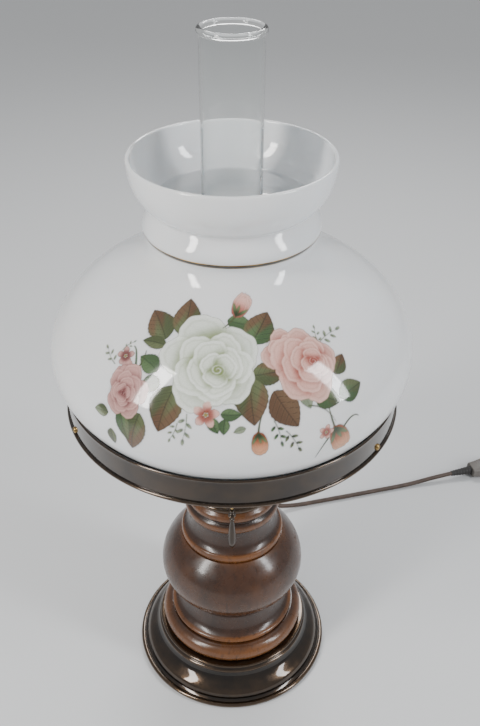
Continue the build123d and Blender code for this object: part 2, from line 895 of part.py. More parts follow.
with BuildPart() as return_spring:
    with BuildLine() as spring_path:
        Helix(
            pitch=0.75,
            height=1.5,
            radius=1.7,
            center=(3.2, pivot_y, pivot_z),
            direction=(1, 0, 0),
        )
    with BuildSketch(Plane(origin=spring_path.line @ 0, z_dir=spring_path.line % 0)):
        Circle(0.3)
    sweep()
return_spring.part.label = "return_spring"
export_step(return_spring.part, "parts/return_spring.step")

swing_level = chain_level - chain_fall
throat_level = swing_level + 1.5
mouth_level = swing_level - 4.5
with BuildPart() as switch_arm:
    with Locations((0, (box_front - chain_reach) / 2, chain_level)):
        Cylinder(arm_tube, chain_reach + box_front, rotation=(90, 0, 0))
    with Locations((0, -chain_reach, chain_level)):
        Sphere(arm_tube)
    with BuildSketch(Plane.XZ.offset(chain_reach)):
        with BuildLine():
            Polyline(
                (0, chain_level),
                (arm_tube, chain_level),
                (arm_tube, throat_level + 1.0),
                (arm_tube + 4.0, mouth_level + 1.0),
                (arm_tube + 4.0, mouth_level),
                (0, mouth_level),
                close=True,
            )
        make_face()
    revolve(axis=Axis((0, -chain_reach, 0), (0, 0, 1)))
    with BuildSketch(Plane.XZ.offset(chain_reach)):
        with BuildLine():
            Polyline(
                (0, chain_level),
                (arm_bore, chain_level),
                (arm_bore, throat_level),
                (arm_bore + 3.6, mouth_level),
                (0, mouth_level),
                close=True,
            )
        make_face()
    revolve(axis=Axis((0, -chain_reach, 0), (0, 0, 1)), mode=Mode.SUBTRACT)
    with Locations((0, -chain_reach, chain_level)):
        Sphere(arm_bore, mode=Mode.SUBTRACT)
    with Locations((0, (box_front - chain_reach) / 2, chain_level)):
        Cylinder(arm_bore, chain_reach + box_front, rotation=(90, 0, 0), mode=Mode.SUBTRACT)
switch_arm.part.label = "switch_arm"
export_step(switch_arm.part, "parts/switch_arm.step")

# ---------------------------------------------------------------- chain and its fob
tip_y = pivot_y + pull_travel / 2
inner_start = tip_y - lever_width / 2 - hook_play - bead_ball - fit_gap
inner_balls = int((chain_reach + inner_start - pull_travel) / chain_pitch) + 1
with BuildPart() as chain_inner:
    for ball in range(inner_balls):
        with Locations((0, inner_start - ball * chain_pitch, chain_level)):
            Sphere(bead_ball)
    with Locations((0, inner_start - (inner_balls - 1) * chain_pitch / 2, chain_level)):
        Cylinder(link_wire, (inner_balls - 1) * chain_pitch, rotation=(90, 0, 0))
chain_inner.part.label = "chain_inner"
export_step(chain_inner.part, "parts/chain_inner.step")

upper_balls = 4
link_gap = bead_ball + 0.15
with BuildPart() as chain_upper:
    for ball in range(1, upper_balls + 1):
        with Locations((0, -chain_reach, swing_level + ball * chain_pitch)):
            Sphere(bead_ball)
    with Locations((0, -chain_reach, swing_level + link_gap)):
        Cylinder(
            link_wire,
            upper_balls * chain_pitch - link_gap,
            align=(Align.CENTER, Align.CENTER, Align.MIN),
        )
chain_upper.part.label = "chain_upper"
export_step(chain_upper.part, "parts/chain_upper.step")

drop_balls = 23
fob_level = swing_level - (drop_balls - 1) * chain_pitch
with BuildPart() as chain_drop:
    for ball in range(drop_balls):
        with Locations((0, -chain_reach, swing_level - ball * chain_pitch)):
            Sphere(bead_ball)
    with Locations((0, -chain_reach, fob_level)):
        Cylinder(
            link_wire, swing_level - fob_level, align=(Align.CENTER, Align.CENTER, Align.MIN)
        )
chain_drop.part.label = "chain_drop"
export_step(chain_drop.part, "parts/chain_drop.step")

bell_top = fob_level - bead_ball - fit_gap
fob_top = bell_top - bell_height - 3.3
fob_axis = Axis((0, -chain_reach, 0), (0, 0, 1))
with BuildPart() as fob_bell:
    with BuildSketch(Plane.XZ.offset(chain_reach)):
        with BuildLine():
            Line((0, bell_top), (1.3, bell_top))
            Bezier(
                (1.3, bell_top),
                (1.6, bell_top - 2.4),
                (2.2, bell_top - 3.2),
                (fob_radius, bell_top - bell_height),
            )
            Polyline(
                (fob_radius, bell_top - bell_height),
                (fob_radius - 0.8, bell_top - bell_height),
                (1.0 + seat_gap, bell_top - 3.6),
                (1.0 + seat_gap, bell_top - 2.2),
                (0, bell_top - 2.2),
                (0, bell_top),
            )
        make_face()
    revolve(axis=fob_axis)
fob_bell.part.label = "fob_bell"
export_step(fob_bell.part, "parts/fob_bell.step")

widest = fob_top - 0.72 * fob_length
with BuildPart() as fob_drop:
    with BuildSketch(Plane.XZ.offset(chain_reach)):
        with BuildLine():
            Polyline(
                (0, bell_top - 2.2),
                (1.0, bell_top - 2.2),
                (1.0, fob_top + 0.6),
                (1.9, fob_top),
            )
            Bezier(
                (1.9, fob_top),
                (2.4, fob_top - 6.0),
                (fob_radius, widest + 10.0),
                (fob_radius, widest),
            )
            Bezier(
                (fob_radius, widest),
                (fob_radius, widest - 4.6),
                (1.6, widest - 7.4),
                (0, fob_top - fob_length),
            )
            Line((0, fob_top - fob_length), (0, bell_top - 2.2))
        make_face()
    revolve(axis=fob_axis)
fob_drop.part.label = "fob_drop"
export_step(fob_drop.part, "parts/fob_drop.step")

# ---------------------------------------------------------------- cord
relief_start = foot_radius - 3.9  # outer flange, just clear of the foot's side
relief_tip = relief_start + relief_length
relief_axis = Axis((0, 0, cord_exit_height), (0, 1, 0))
relief_plane = Plane(origin=(0, 0, cord_exit_height), x_dir=(0, 1, 0), z_dir=(1, 0, 0))
with BuildPart() as foot_relief:
    with BuildSketch(relief_plane):
        with BuildLine():
            Polyline(
                (relief_start - 12.4, cord_radius + seat_gap),
                (relief_start - 12.4, 4.9),
                (relief_start - 10.4, 4.9),
                (relief_start - 10.4, 4.0),
                (relief_start, 4.0),
                (relief_start, 5.2),
                (relief_start + 2.4, 5.2),
                (relief_start + 2.4, 4.5),
                (relief_tip, cord_radius + 0.7),
                (relief_tip, cord_radius + seat_gap),
                close=True,
            )
        make_face()
    revolve(axis=relief_axis)
foot_relief.part.label = "foot_relief"
export_step(foot_relief.part, "parts/foot_relief.step")

lead_level = felt_thickness + cord_radius + 0.3
with BuildPart() as inner_lead:
    with BuildLine(Plane.YZ) as lead_path:
        FilletPolyline(
            (relief_tip, cord_exit_height),
            (57.0, cord_exit_height),
            (26.0, lead_level),
            (0, lead_level),
            (0, pipe_top - 1.0),
            radius=(120.0, 90.0, 10.0),
        )
    with BuildSketch(Plane(origin=lead_path.line @ 0, z_dir=lead_path.line % 0)):
        Circle(cord_radius)
    sweep()
inner_lead.part.label = "inner_lead"
export_step(inner_lead.part, "parts/inner_lead.step")


def bend_radii(points):
    """Largest arc at each corner of a cord's route that its two runs leave room for."""
    radii = []
    for before, corner, after in zip(points, points[1:], points[2:]):
        first = Vector(corner) - Vector(before)
        second = Vector(after) - Vector(corner)
        turn = radians(first.get_angle(second))
        radii.append(0.45 * min(first.length, second.length) / tan(turn / 2))
    return radii


coil_centre = (-8.0, 189.0)
coil_bottom = tie_thickness + seat_gap
coil_half = coil_columns * turn_pitch / 2
outer_turn = coil_radius + coil_half - turn_pitch / 2
lower_turn = coil_bottom + turn_pitch / 2
upper_turn = coil_bottom + (coil_layers - 0.5) * turn_pitch
plug_level = plug_height / 2

tail_points = [
    (0.0, relief_tip, cord_exit_height),
    (0.0, 121.5, cord_exit_height),
    (2.2, 134.5, 7.4),
    (8.4, 146.5, 3.4),
    (15.6, 157.0, 2.7),
    (21.8, 167.0, 2.8),
    (26.8, 176.3, lower_turn),
]
run_points = [
    (coil_centre[0], coil_centre[1] - outer_turn, upper_turn),
    (10.0, 154.6, 13.0),
    (42.0, 163.2, 13.0),
    (70.0, 171.0, 3.4),
    (118.8, 184.0, 2.7),
    (178.0, 199.1, 2.6),
    (222.0, 210.6, 2.7),
    (251.0, 218.4, 6.4),
    (273.5, 224.2, plug_level),
]

with BuildPart() as cord_tail:
    with BuildLine() as tail_path:
        FilletPolyline(*tail_points, radius=bend_radii(tail_points))
    with BuildSketch(Plane(origin=tail_path.line @ 0, z_dir=tail_path.line % 0)):
        Circle(cord_radius)
    sweep()
cord_tail.part.label = "cord_tail"
export_step(cord_tail.part, "parts/cord_tail.step")

with BuildPart() as cord_run:
    with BuildLine() as run_path:
        FilletPolyline(*run_points, radius=bend_radii(run_points))
    with BuildSketch(Plane(origin=run_path.line @ 0, z_dir=run_path.line % 0)):
        Circle(cord_radius)
    sweep()
cord_run.part.label = "cord_run"
export_step(cord_run.part, "parts/cord_run.step")

with BuildPart() as cord_coil:
    with BuildSketch(Plane.XZ):
        with Locations((coil_radius, coil_bottom + coil_layers * turn_pitch / 2)):
            RectangleRounded(2 * coil_half, coil_layers * turn_pitch, 0.9 * cord_radius)
    revolve(axis=Axis.Z)
cord_coil.part.position = (*coil_centre, 0)
cord_coil.part.label = "cord_coil"
export_step(cord_coil.part, "parts/cord_coil.step")

with BuildPart() as cord_ties:
    for azimuth in (80.0, 200.0):
        tie_plane = Plane(
            origin=(*coil_centre, coil_bottom + coil_layers * turn_pitch / 2),
            x_dir=(cos(radians(azimuth)), sin(radians(azimuth)), 0),
            z_dir=(sin(radians(azimuth)), -cos(radians(azimuth)), 0),
        )
        with BuildSketch(tie_plane):
            with Locations((coil_radius, 0)):
                RectangleRounded(
                    2 * (coil_half + tie_slack + tie_thickness),
                    coil_layers * turn_pitch + 2 * (seat_gap + tie_thickness),
                    cord_radius,
                )
                Rectangle(
                    2 * (coil_half + tie_slack),
                    coil_layers * turn_pitch + 2 * seat_gap,
                    mode=Mode.SUBTRACT,
                )
        extrude(amount=4.0, both=True)
cord_ties.part.label = "cord_ties"
export_step(cord_ties.part, "parts/cord_ties.step")

# ---------------------------------------------------------------- plug
run_end = Vector(run_points[-1])
last_run = run_end - Vector(run_points[-2])
heading = Vector(last_run.X, last_run.Y, 0).normalized()
relief_back = Plane(origin=run_end, z_dir=last_run)
plug_back = Plane(
    origin=run_end + heading * relief_length,
    x_dir=(-heading.Y, heading.X, 0),
    z_dir=heading,
)
with BuildPart() as plug_relief:
    with BuildSketch(relief_back):
        Circle(cord_radius + 0.7)
    with BuildSketch(plug_back):
        Circle(plug_height / 2 - 2.2)
    loft()
plug_relief.part.label = "plug_relief"
export_step(plug_relief.part, "parts/plug_relief.step")

with BuildPart() as plug_body:
    with BuildSketch(plug_back):
        RectangleRounded(plug_width, plug_height, plug_height / 2 - 1.0)
    extrude(amount=plug_length)
    fillet(plug_body.faces().filter_by(GeomType.PLANE).sort_by(Axis(run_end, heading))[-1].edges(), 1.5)
    fillet(plug_body.faces().filter_by(GeomType.PLANE).sort_by(Axis(run_end, heading))[0].edges(), 1.2)
plug_body.part.label = "plug_body"
export_step(plug_body.part, "parts/plug_body.step")

with BuildPart() as plug_pins:
    with BuildSketch(plug_back.offset(plug_length)):
        with GridLocations(pin_spacing, 1, 2, 1):
            Circle(pin_radius)
    extrude(amount=pin_length)
    chamfer(plug_pins.faces().sort_by(Axis(run_end, heading))[-2:].edges(), 0.8)
plug_pins.part.label = "plug_pins"
export_step(plug_pins.part, "parts/plug_pins.step")

# ---------------------------------------------------------------- printed for the drawing
for name, points, line in (
    ("tail", tail_points, tail_path.line),
    ("run", run_points, run_path.line),
):
    length = sum(edge.length for edge in line.edges())
    print(name, "length", round(length, 1), "radii", [round(r) for r in bend_radii(points)])
cord_section = pi * cord_radius**2
print("volume over section: tail", round(cord_tail.part.volume / cord_section, 1))
print("volume over section: run", round(cord_run.part.volume / cord_section, 1))
print("swing", swing_level, "fob", fob_level, "lever", pivot_y, pivot_z, lever_rest)
print("plug", plug_back.origin, heading, "chimney top", chimney_top, "shade lip", lip_level)
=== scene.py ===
"""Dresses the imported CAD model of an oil-style table lamp: turned wood, bronze, opal glass, painted roses.

Lengths in the code are in millimetres and become metres when a mesh is made. +Z is up and -Y is the front.
"""

import json
import logging
import math
from dataclasses import dataclass, field
from enum import Enum

import bmesh
import bpy
import numpy as np
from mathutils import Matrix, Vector


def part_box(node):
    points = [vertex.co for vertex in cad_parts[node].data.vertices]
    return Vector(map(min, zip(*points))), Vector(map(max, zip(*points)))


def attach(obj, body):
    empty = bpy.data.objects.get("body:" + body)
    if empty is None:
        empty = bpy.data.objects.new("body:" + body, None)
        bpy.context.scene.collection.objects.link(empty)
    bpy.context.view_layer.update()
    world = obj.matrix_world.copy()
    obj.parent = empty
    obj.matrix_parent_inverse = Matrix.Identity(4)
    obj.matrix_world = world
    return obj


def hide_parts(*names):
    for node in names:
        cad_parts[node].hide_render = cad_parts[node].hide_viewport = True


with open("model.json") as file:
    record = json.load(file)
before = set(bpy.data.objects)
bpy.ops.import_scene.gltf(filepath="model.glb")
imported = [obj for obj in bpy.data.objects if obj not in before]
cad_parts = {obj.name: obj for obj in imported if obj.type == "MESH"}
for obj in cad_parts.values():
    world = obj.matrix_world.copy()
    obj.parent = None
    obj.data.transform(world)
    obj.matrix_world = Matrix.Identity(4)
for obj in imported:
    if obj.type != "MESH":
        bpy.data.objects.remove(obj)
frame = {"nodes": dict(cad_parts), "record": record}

MM = 0.001
FULL_TURN = 2 * math.pi
Colour = tuple[float, float, float]
SLOT_OF = {part["node"]: part["material_slot"] for part in frame["record"]["subparts"]}
BODY_OF = {node: body for body, nodes in frame["record"]["behaviour"]["bodies"].items() for node in nodes}
log = logging.getLogger("lamp")


# ---------------------------------------------------------------- outlines
def cubic(start: tuple, pull: tuple, push: tuple, end: tuple, count: int = 40) -> np.ndarray:
    """Points on a cubic Bezier curve: its four points weighted by the Bernstein polynomials.

    Args:
        start: first point.
        pull: control point that the curve leaves towards.
        push: control point that the curve arrives from.
        end: last point.
        count: how many points are made.

    Returns:
        The points, one a row.
    """
    t = np.linspace(0, 1, count)[:, None]
    ends = (1 - t) ** 3 * np.array(start) + t**3 * np.array(end)
    return ends + 3 * t * (1 - t) * ((1 - t) * np.array(pull) + t * np.array(push))


def arc(start: tuple, middle: tuple, end: tuple, count: int = 24) -> np.ndarray:
    """Points on the circle through three points: the centre is as far from each of them.

    Args:
        start: first point.
        middle: a point that the arc passes.
        end: last point.
        count: how many points are made.

    Returns:
        The points, one a row.
    """
    a, b, c = (np.array(p, float) for p in (start, middle, end))
    sides = 2 * np.array([b - a, c - a])
    centre = np.linalg.solve(sides, [b @ b - a @ a, c @ c - a @ a])
    angles = np.unwrap([math.atan2(*(p - centre)[::-1]) for p in (a, b, c)])
    return ring_points(centre, np.linalg.norm(a - centre), angles[0], angles[2], count)


def ring_points(centre: tuple, radius: float, begin: float, stop: float, count: int = 24) -> np.ndarray:
    """Points on a circle's arc between two angles in radians, one a row."""
    return oval(centre, radius, radius, begin, stop, count)


def oval(centre: tuple, wide: float, high: float, begin: float, stop: float, count: int = 90) -> np.ndarray:
    """Points on an ellipse's arc: the centre plus the half axes times cosine and sine of the angle.

    Args:
        centre: middle of the ellipse.
        wide: half axis along the radius.
        high: half axis along the height.
        begin: first angle, in radians.
        stop: last angle, in radians.
        count: how many points are made.

    Returns:
        The points, one a row.
    """
    angle = np.linspace(begin, stop, count)
    return np.array(centre) + np.column_stack([wide * np.cos(angle), high * np.sin(angle)])


def flowing(points: list, first: tuple, last: tuple, count: int = 60) -> np.ndarray:
    """A smooth curve through points with given end directions.

    It is the clamped cubic spline over chord length: the slopes at the inner points solve the
    tridiagonal system that makes the second derivative continuous.

    Args:
        points: points that the curve passes.
        first: direction at the first point.
        last: direction at the last point.
        count: how many points are made.

    Returns:
        The points, one a row.
    """
    known = np.array(points, float)
    chord = np.linalg.norm(np.diff(known, axis=0), axis=1)
    knots = np.concatenate([[0], np.cumsum(chord)])
    size = len(known)
    system = np.eye(size)
    right = np.zeros((size, 2))
    right[0] = np.array(first) / np.linalg.norm(first)
    right[-1] = np.array(last) / np.linalg.norm(last)
    inner = np.arange(1, size - 1)
    before, after = chord[:-1], chord[1:]
    system[inner, inner - 1] = after
    system[inner, inner] = 2 * (before + after)
    system[inner, inner + 1] = before
    rise = np.diff(known, axis=0) / chord[:, None]
    right[inner] = 3 * (after[:, None] * rise[:-1] + before[:, None] * rise[1:])
    slopes = np.linalg.solve(system, right)
    where = np.linspace(0, knots[-1], count)
    part = np.clip(np.searchsorted(knots, where, side="right") - 1, 0, size - 2)
    span = chord[part][:, None]
    t = (where - knots[part])[:, None] / span
    return (
        (2 * t**3 - 3 * t**2 + 1) * known[part]
        + (t**3 - 2 * t**2 + t) * span * slopes[part]
        + (3 * t**2 - 2 * t**3) * known[part + 1]
        + (t**3 - t**2) * span * slopes[part + 1]
    )


def joined(*pieces: object) -> np.ndarray:
    """Strings curves and single points into one outline, leaving out points that repeat.

    Args:
        *pieces: arrays of points, or single points.

    Returns:
        The outline, one point a row.
    """
    walk = np.vstack([np.atleast_2d(np.array(piece, float)) for piece in pieces])
    step = np.linalg.norm(np.diff(walk, axis=0), axis=1)
    return walk[np.concatenate([[True], step > 1e-6])]


def smeared(values: np.ndarray, width: float, closed: bool) -> np.ndarray:
    """Values averaged with a bell-shaped weight over their neighbours along the first axis.

    Args:
        values: rows to average.
        width: the bell's standard deviation, in rows.
        closed: whether the last row meets the first.

    Returns:
        The averaged rows.
    """
    reach = max(1, min(int(3 * width), len(values) - 1))
    bell = np.exp(-0.5 * (np.arange(-reach, reach + 1) / width) ** 2)
    bell /= bell.sum()
    if closed:
        padded = np.concatenate([values[-reach:], values, values[:reach]])
    else:
        head = 2 * values[0] - values[reach:0:-1]
        tail = 2 * values[-1] - values[-2 : -reach - 2 : -1]
        padded = np.concatenate([head, values, tail])
    columns = padded.reshape(len(padded), -1).T
    return np.array([np.convolve(c, bell, "valid") for c in columns]).T.reshape(values.shape)


def along(points: np.ndarray) -> np.ndarray:
    """Length walked from the first point to each point."""
    return np.concatenate([[0], np.cumsum(np.linalg.norm(np.diff(points, axis=0), axis=1))])


def eased(points: np.ndarray, closed: bool, blur: float, reach: float, turn: float) -> np.ndarray:
    """Rounds an outline's corners and spaces its points by how much it bends.

    The outline is cut into even steps and averaged with a bell of the blur's width. Each step then
    costs its length over the reach plus its turn over the largest turn, and the points of the
    result lie at even costs.

    Args:
        points: the outline.
        closed: whether the last point meets the first.
        blur: how far a corner is rounded.
        reach: longest distance between points.
        turn: largest turn between points, in degrees.

    Returns:
        The new outline.
    """
    walk = np.vstack([points, points[:1]]) if closed else points
    length = along(walk)
    step = blur / 3
    marks = np.linspace(0, length[-1], max(8, int(length[-1] / step)))
    fine = np.column_stack([np.interp(marks, length, column) for column in walk.T])
    soft = smeared(fine[:-1] if closed else fine, blur / step, closed)
    if closed:
        soft = np.vstack([soft, soft[:1]])
    edges = np.diff(soft, axis=0)
    heading = np.unwrap(np.arctan2(edges[:, 1], edges[:, 0]))
    bend = np.abs(np.diff(heading, prepend=heading[0]))
    price = np.linalg.norm(edges, axis=1) / reach + np.degrees(bend) / turn
    cost = np.concatenate([[0], np.cumsum(price)])
    count = max(6, math.ceil(cost[-1]))
    stops = np.linspace(0, cost[-1], count + 1)
    even = np.column_stack([np.interp(stops, cost, column) for column in soft.T])
    return even[:-1] if closed else even


# ---------------------------------------------------------------- meshes
@dataclass(frozen=True)
class Seat:
    """Where a piece stands: its foot in millimetres, the way it points and the way its side faces."""

    foot: tuple = (0.0, 0.0, 0.0)
    upward: tuple = (0.0, 0.0, 1.0)
    sideways: tuple = (1.0, 0.0, 0.0)

    def place(self, points: np.ndarray) -> np.ndarray:
        """Turns points from the piece's own axes to the lamp's.

        Args:
            points: side, back and up in millimetres, in the last axis.

        Returns:
            The points in the lamp's axes, in millimetres.
        """
        up = np.array(self.upward) / np.linalg.norm(self.upward)
        side = np.array(self.sideways) - (np.array(self.sideways) @ up) * up
        side /= np.linalg.norm(side)
        return np.array(self.foot) + points @ np.array([side, np.cross(up, side), up])


UPRIGHT = Seat()


def grid_faces(rows: int, columns: int, rows_meet: bool, columns_meet: bool) -> np.ndarray:
    """Corner numbers of a grid's quads: each cell takes its own point, the next column, both, the next row.

    Args:
        rows: how many rows of points there are.
        columns: how many points a row has.
        rows_meet: whether the last row meets the first.
        columns_meet: whether the last column meets the first.

    Returns:
        Four corner numbers a face.
    """
    row, column = np.meshgrid(
        np.arange(rows if rows_meet else rows - 1),
        np.arange(columns if columns_meet else columns - 1),
        indexing="ij",
    )
    below, beyond = (row + 1) % rows, (column + 1) % columns
    corners = [(row, column), (row, beyond), (below, beyond), (below, column)]
    return np.stack([r * columns + c for r, c in corners], -1).reshape(-1, 4)


def mesh_piece(name: str, points: np.ndarray, faces: np.ndarray, uv: np.ndarray) -> bpy.types.Object:
    """Makes a smooth-shaded object at the origin from whole arrays.

    Args:
        name: the piece's name.
        points: its points in millimetres, one a row.
        faces: four corner numbers a face.
        uv: the UV place of each face's four corners.

    Returns:
        The new object, linked to the scene.
    """
    mesh = bpy.data.meshes.new(name)
    mesh.vertices.add(len(points))
    mesh.vertices.foreach_set("co", (points * MM).astype(np.float32).ravel())
    mesh.loops.add(faces.size)
    mesh.loops.foreach_set("vertex_index", faces.astype(np.int32).ravel())
    mesh.polygons.add(len(faces))
    mesh.polygons.foreach_set("loop_start", np.arange(0, faces.size, 4, dtype=np.int32))
    mesh.update(calc_edges=True)
    layer = mesh.uv_layers.new(name="UVMap")
    layer.uv.foreach_set("vector", uv.astype(np.float32).ravel())
    mesh.shade_smooth()
    piece = bpy.data.objects.new(name, mesh)
    bpy.context.scene.collection.objects.link(piece)
    return piece


def weld(piece: bpy.types.Object) -> None:
    """Merges the points that lie on each other, so that poles and seams are closed."""
    work = bmesh.new()
    work.from_mesh(piece.data)
    bmesh.ops.remove_doubles(work, verts=work.verts, dist=1e-7)
    bmesh.ops.dissolve_degenerate(work, edges=work.edges, dist=1e-8)
    work.to_mesh(piece.data)
    work.free()
    piece.data.shade_smooth()


def surface(
    name: str,
    grid: np.ndarray,
    rows_meet: bool = False,
    columns_meet: bool = True,
    marks: dict[str, np.ndarray] | None = None,
) -> bpy.types.Object:
    """Makes a piece from a grid of points, with a UV map that follows its rows and columns.

    Args:
        name: the piece's name.
        grid: points in millimetres, rows by columns by three.
        rows_meet: whether the last row meets the first.
        columns_meet: whether the last column meets the first.
        marks: values to keep at the points, by name, rows by columns.

    Returns:
        The new object.
    """
    rows, columns = grid.shape[:2]
    faces = grid_faces(rows, columns, rows_meet, columns_meet)
    row, column = faces[:, :1] // columns, faces[:, :1] % columns
    u = (column + np.array([[0, 1, 1, 0]])) / columns
    v = (row + np.array([[0, 0, 1, 1]])) / rows
    piece = mesh_piece(name, grid.reshape(-1, 3), faces, np.stack([u, v], -1))
    for label, values in (marks or {}).items():
        layer = piece.data.attributes.new(label, "FLOAT", "POINT")
        layer.data.foreach_set("value", values.astype(np.float32).ravel())
    ends = (grid[0], grid[-1])
    if not rows_meet and any(np.ptp(end, axis=0).max() < 1e-6 for end in ends):
        weld(piece)
    return piece


def lathe(
    name: str,
    outline: np.ndarray,
    seat: Seat = UPRIGHT,
    closed: bool = True,
    steps: int = 192,
    blur: float = 0.3,
    reach: float = 2.4,
    turn: float = 9.0,
    ridge_width: float = 5.0,
) -> bpy.types.Object:
    """Turns an outline about an axis: a point of radius r at angle a goes to (r cos a, r sin a, height).

    The attribute "ridge" says how far a point stands out from the outline averaged around it, from
    -1 in a groove to 1 on a bead.

    Args:
        name: the piece's name.
        outline: radius and height of each point, walked upwards on the outside.
        seat: where the axis stands and points.
        closed: whether the outline closes on itself, off the axis.
        steps: how many points go round.
        blur: how far corners are rounded.
        reach: longest distance between points of the outline.
        turn: largest turn between points of the outline, in degrees.
        ridge_width: how far around a point the outline is averaged for its ridge.

    Returns:
        The new object.
    """
    section = eased(outline, closed, blur, reach, turn)
    spacing, full_ridge = 0.5, 1.4
    even = max(8, int(along(section)[-1] / spacing))
    marks = np.linspace(0, along(section)[-1], even)
    radius = np.interp(marks, along(section), section[:, 0])
    level = smeared(radius, ridge_width / spacing, closed)
    ridge = np.interp(along(section), marks, np.clip((radius - level) / full_ridge, -1, 1))
    angle = np.arange(steps) * FULL_TURN / steps
    grid = np.stack(
        [
            section[:, :1] * np.cos(angle),
            section[:, :1] * np.sin(angle),
            section[:, 1:] + 0 * angle,
        ],
        -1,
    )
    return surface(name, seat.place(grid), closed, True, {"ridge": ridge[:, None] + 0 * angle})


# ---------------------------------------------------------------- node trees
class Tree:
    """A node tree that is filled one node at a time."""

    def __init__(self, tree: bpy.types.NodeTree) -> None:
        """Takes over a tree."""
        self.tree = tree

    def add(self, kind: str, inputs: dict | None = None, **settings: object) -> bpy.types.Node:
        """Adds a node.

        Args:
            kind: the node's type, without ShaderNode.
            inputs: values or sockets for its inputs, by name or number.
            **settings: the node's own settings.

        Returns:
            The node.
        """
        node = self.tree.nodes.new("ShaderNode" + kind)
        for key, value in settings.items():
            setattr(node, key, value)
        for key, value in (inputs or {}).items():
            if isinstance(value, bpy.types.NodeSocket):
                self.tree.links.new(value, node.inputs[key])
            else:
                node.inputs[key].default_value = value
        return node

    def maths(self, operation: str, *values: object) -> bpy.types.NodeSocket:
        """Adds a Math node and gives its result."""
        return self.add("Math", dict(enumerate(values)), operation=operation).outputs[0]

    def mixed(self, share: object, first: object, second: object) -> bpy.types.NodeSocket:
        """Adds a colour mix and gives its result."""
        node = self.add("Mix", {0: share, 6: first, 7: second}, data_type="RGBA")
        return node.outputs[2]

    def ramped(
        self, value: object, low: float, high: float, start: float, end: float,
    ) -> bpy.types.NodeSocket:
        """Maps a value from one range to another, clamped."""
        return self.add("MapRange", {0: value, 1: low, 2: high, 3: start, 4: end}).outputs[0]


def shader_group(
    name: str, inputs: dict[str, object], outputs: list[str],
) -> tuple[Tree, dict, bpy.types.Node]:
    """Starts a shader node group whose sockets are all numbers, apart from vectors.

    Args:
        name: the group's name.
        inputs: default value of each input; a tuple makes a vector.
        outputs: name of each output, a number.

    Returns:
        The tree, its input sockets by name, and the output node.
    """
    group = bpy.data.node_groups.new(name, "ShaderNodeTree")
    for label, value in inputs.items():
        kind = "NodeSocketVector" if isinstance(value, tuple) else "NodeSocketFloat"
        group.interface.new_socket(label, in_out="INPUT", socket_type=kind).default_value = value
    for label in outputs:
        group.interface.new_socket(label, in_out="OUTPUT", socket_type="NodeSocketFloat")
    start = group.nodes.new("NodeGroupInput")
    return Tree(group), {label: start.outputs[label] for label in inputs}, group.nodes.new("NodeGroupOutput")


